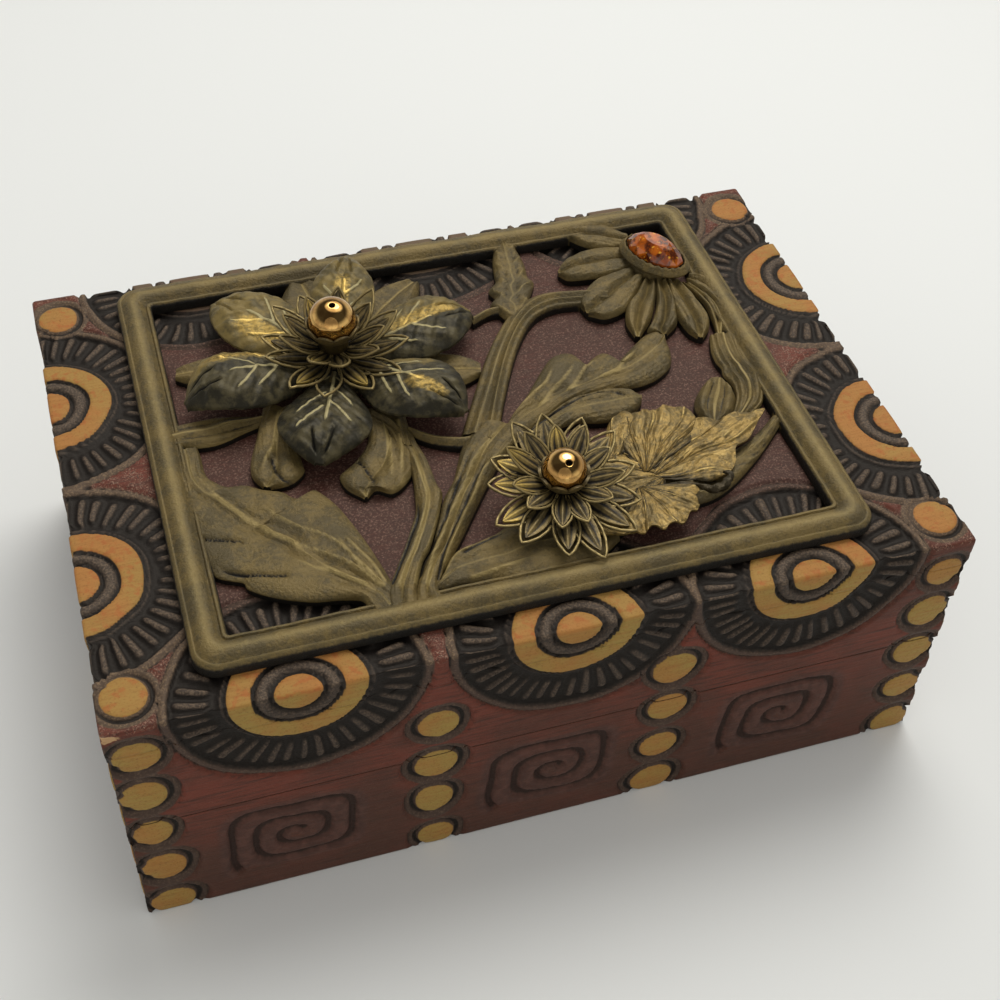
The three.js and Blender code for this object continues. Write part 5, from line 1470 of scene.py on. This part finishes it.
def addGiltLeaf(finish):
    shells = [giltLobe(seed=1.7 * n, **one) for n, one in enumerate(giltLeaf["lobes"])]
    rows, columns = sampling["curl"]
    line = throughPoints(np.reshape(giltLeaf["curl"]["points"], (-1, 2)), rows)
    turn = circle(columns)[None, :]
    radius = giltLeaf["curl"]["radius"] * np.sin(np.linspace(0.3, math.pi - 0.3, rows))[:, None]
    radius = radius * (1 + 0.2 * np.sin(3 * turn + np.arange(rows)[:, None]))
    xy = line[:, None] + sideways(line) * (radius * np.cos(turn))[..., None]
    rings = np.dstack([xy, giltLeaf["base"] + 0.7 + radius * np.sin(turn)])
    # the rolled curl is painted dark as shade, with two lighter streaks as painted highlight
    shells.append(ringShell(rings, False, hollow=0.9, rub=0.4 * unit(np.sin(2 * turn)) + 0 * radius))
    bore = turned([(1.4, leafBox[0][2] - 2), (1.4, leafBox[1][2] + 3)], 24, ballPlaces["small"])
    addPiece("gilt_leaf", "stamped", melt("gilt_leaf", shells, finish, cuts=[bore]), "lid")
    print("gilt leaf made")


# The amber stone: rings of points, each turned half a step from the last, joined by flat facets up to the table
stoneLook = {
    "sides": 12,
    "half": (6.1, 3.5),
    "turn": -58,
    "rim": 1.4,
    "beads": (24, 0.12),  # count round the rim, rise
    # share of the half width, share of the height, share of a step turned
    "rings": [(0.8, 0.0, 0), (1.0, 0.3, 0.5), (0.98, 0.4, 0.5), (0.84, 0.66, 0), (0.6, 0.9, 0.5), (0.44, 1.0, 0)],
    # distance in from the rim's outside, share of the height
    "setting": [(1.0, 0), (0.0, 0), (0.05, 0.2), (0.35, 0.45), (0.7, 0.75), (0.9, 1.0), (1.15, 1.0), (1.25, 0.7)],
}


def slanted(centre, long, short, turn):  # x and y round an oval whose long axis is turned
    slant = math.radians(stoneLook["turn"])
    a, b = long * np.cos(turn), short * np.sin(turn)
    return (centre[0] + a * math.cos(slant) - b * math.sin(slant),
            centre[1] + a * math.sin(slant) + b * math.cos(slant))


def addStone(amber, brass):
    low, high = corners("amber_stone")
    centre, sides = (low + high) / 2, stoneLook["sides"]
    share, rise, twist = columnsOf(stoneLook["rings"])
    turn = (np.arange(sides)[None, :] + twist) * 2 * math.pi / sides
    rings = np.dstack([*slanted(centre, share * stoneLook["half"][0], share * stoneLook["half"][1], turn),
                       low[2] + rise * (high[2] - low[2]) + 0 * turn])
    points, faces = rings.reshape(-1, 3), []
    index = np.arange(len(points)).reshape(len(rings), sides)
    for k in range(len(rings) - 1):
        a, b, c, d = index[k], np.roll(index[k], -1), np.roll(index[k + 1], -1), index[k + 1]
        if twist[k, 0] == twist[k + 1, 0]:
            faces.append(np.stack([a, b, c, d], -1))
        elif twist[k, 0] < twist[k + 1, 0]:
            faces += [np.stack([a, b, d], -1), np.stack([b, c, d], -1)]
        else:
            faces += [np.stack([a, b, c], -1), np.stack([a, c, d], -1)]
    faces += [index[:1, ::-1], index[-1:]]
    groups = [(f, 0, False) for f in faces]
    addPiece("amber_stone", "cut", buildMesh("amber_stone", points, groups, [amber]), "lid")
    low, high = corners("stone_setting")
    centre, half = (low + high) / 2, np.array(stoneLook["half"]) + stoneLook["rim"]
    turn = circle(96)[:, None]
    step, share = (k.T for k in columnsOf(stoneLook["setting"]))
    count, rise = stoneLook["beads"]
    beaded = 1 + rise * np.cos(count * turn) * (share > 0.8)
    rings = np.dstack([*slanted(centre, half[0] - step, half[1] - step, turn),
                       low[2] + share * beaded * (high[2] - low[2]) / (1 + rise)])
    # lighter towards the top as painted highlight, partly rubbed wear; painted shade on the inner lip against the
    # stone
    setting = ringShell(rings, True, rub=share * 0.35 + 0 * turn, hollow=0.5 * (step > 1.1) + 0 * turn)
    addPiece("stone_setting", "turned", shellMesh("stone_setting", setting, [brass]), "lid")
    print("stone set")


# Hinges: rolled leaves with round knuckles, a pin and domed nails
hinge = {
    "leaf": 0.8,
    "half": 9.0,
    "barrel": 1.6,
    "bore": 0.8,
    "edge": 0.12,
    "gap": 0.15,
    "proud": 0.03,
    "seat": 0.42,
    "pinEdge": 0.25,
    "sides": {"pin": 36, "knuckle": 48, "nail": 32},
    # share of the nail's radius, distance under the leaf's face
    "nail": [(0.05, 0.0), (0.5, -0.02), (0.8, -0.08), (0.97, -0.2), (1.0, -0.3), (0.97, -0.35), (0.5, -0.37),
             (0.47, -4.5), (0.1, -4.9)],
}


def alongX(profile, count, y, z):  # rings of a profile of x and radius carried round a level axis
    at, away = columnsOf(profile)
    turn = circle(count)
    return np.dstack([at + 0 * turn, y + away * np.cos(turn), z + away * np.sin(turn)])


def roundedBlock(low, high, soften):  # a block as an upright outline with softened edges
    x, y, z = (np.array([low[k], high[k]]) for k in range(3))
    levels = [(soften, z[0]), (0, z[0] + soften), (0, z[1] - soften), (soften, z[1])]
    rings = []
    for inset, height in levels:
        xs, ys = (x[0] + inset, x[1] - inset), (y[0] + inset, y[1] - inset)
        cut = 0.5 * soften
        rings.append([(xs[0] + cut, ys[0], height), (xs[1] - cut, ys[0], height), (xs[1], ys[0] + cut, height),
                      (xs[1], ys[1] - cut, height), (xs[1] - cut, ys[1], height), (xs[0] + cut, ys[1], height),
                      (xs[0], ys[1] - cut, height), (xs[0], ys[0] + cut, height)])
    return ringShell(np.array(rings), False, hollow=0.1)


def knuckle(x0, x1, y, z):  # a short tube along X with softened ends
    soften, r, bore = hinge["edge"], hinge["barrel"], hinge["bore"]
    profile = [(x0, bore), (x0, r - soften), (x0 + soften, r), (x1 - soften, r), (x1, r - soften), (x1, bore)]
    return ringShell(alongX(profile, hinge["sides"]["knuckle"], y, z).swapaxes(0, 1), True, rub=0.5, hollow=0.0)


def addHinge(side, finish):
    (x0, yLow, zLow), (x1, yHigh, zHigh) = corners(f"{side}_hinge_pin")
    y, z, r, soften = (yLow + yHigh) / 2, (zLow + zHigh) / 2, (zHigh - zLow) / 2, hinge["pinEdge"]
    profile = [(x0, r - soften), (x0 + 0.5 * soften, r - 0.35 * soften), (x0 + soften, r), (x1 - soften, r),
               (x1 - 0.5 * soften, r - 0.35 * soften), (x1, r - soften)]
    pin = ringShell(alongX(profile, hinge["sides"]["pin"], y, z), False, rub=0.6)
    addPiece(f"{side}_hinge_pin", "round", shellMesh("pin", pin, [finish]), "base")
    wallY, middle, gap = wood["half"][1], (x0 + x1) / 2, hinge["gap"]
    for body, way, face in (("base", 1, wood["seam"] + hinge["proud"]),
                            ("lid", -1, wood["seam"] + wood["sawCut"] - hinge["proud"])):
        name = f"{side}_hinge_{body}_leaf"
        low, high = corners(name)
        left, right, third = low[0], high[0], (high[0] - low[0]) / 3
        spans = {"base": [(left, left + third - gap), (right - third + gap, right)],
                 "lid": [(left + third + gap, right - third - gap)]}
        bottom, top = sorted((face, face - way * hinge["leaf"]))
        shells = [roundedBlock((middle - hinge["half"], low[1], bottom), (middle + hinge["half"], wallY - 0.3, top),
                               hinge["edge"])]
        for a, b in spans[body]:
            shells.append(knuckle(a, b, y, z))
            shells.append(roundedBlock((a + 0.02, wallY - 1.2, bottom), (b - 0.02, y - 1.0, top), 0.05))
        seats = []
        for nail in (f"{side}_hinge_{body}_nail_1", f"{side}_hinge_{body}_nail_2"):
            low, high = corners(nail)
            wide, at = (high - low)[0] / 2, (low + high) / 2
            ends, sides = sorted((face - way * hinge["seat"], face + way)), hinge["sides"]["nail"]
            seats.append(turned([(wide + 0.1, h) for h in ends], sides, at))
            profile = [(share * wide, face + way * drop) for share, drop in hinge["nail"]]
            mesh = shellMesh("nail", turned(profile, sides, at, rub=0.7), [finish])
            addPiece(nail, "round", mesh, body)
        addPiece(name, "rolled", melt(name, shells, finish, cuts=seats), body)
    print(side, "hinge made")


def addFlowers(gilt, paint, bead):
    shells = [paintedPetal(k) for k in range(len(painted["bends"]))]
    bore, radius, thick = painted["hub"]
    shells.append(washer(ballPlaces["large"], bore, radius, painted["base"], painted["base"] + thick))
    addPiece("large_flower_petals", "painted", melt("large_flower_petals", shells, paint), "lid")
    for name in tiers:
        addTier(name, gilt)
    cupLow = corners("large_flower_bead_cup")[0]
    shell = cupShell(ballPlaces["large"], cupLow[2], corners("large_flower_ball"))
    addPiece("large_flower_bead_cup", "scalloped", shellMesh("cup", shell, [gilt]), "lid")
    for size in ballPlaces:
        addBall(f"{size}_flower_ball", bead)
        repaint(f"{size}_flower_rivet", gilt)
    print("flowers made")


addCamera()
addStage()
print("camera and stage ready")
addBox()
castBrass, agedGilt, brightGilt, hingeBrass = (metal(k) for k in metals)
addPlate(castBrass)
addFlowers(agedGilt, petalPaint(), ballPolish())
addGiltLeaf(brightGilt)
addStone(amberGlass(), castBrass)
for side in ("left", "right"):
    addHinge(side, hingeBrass)
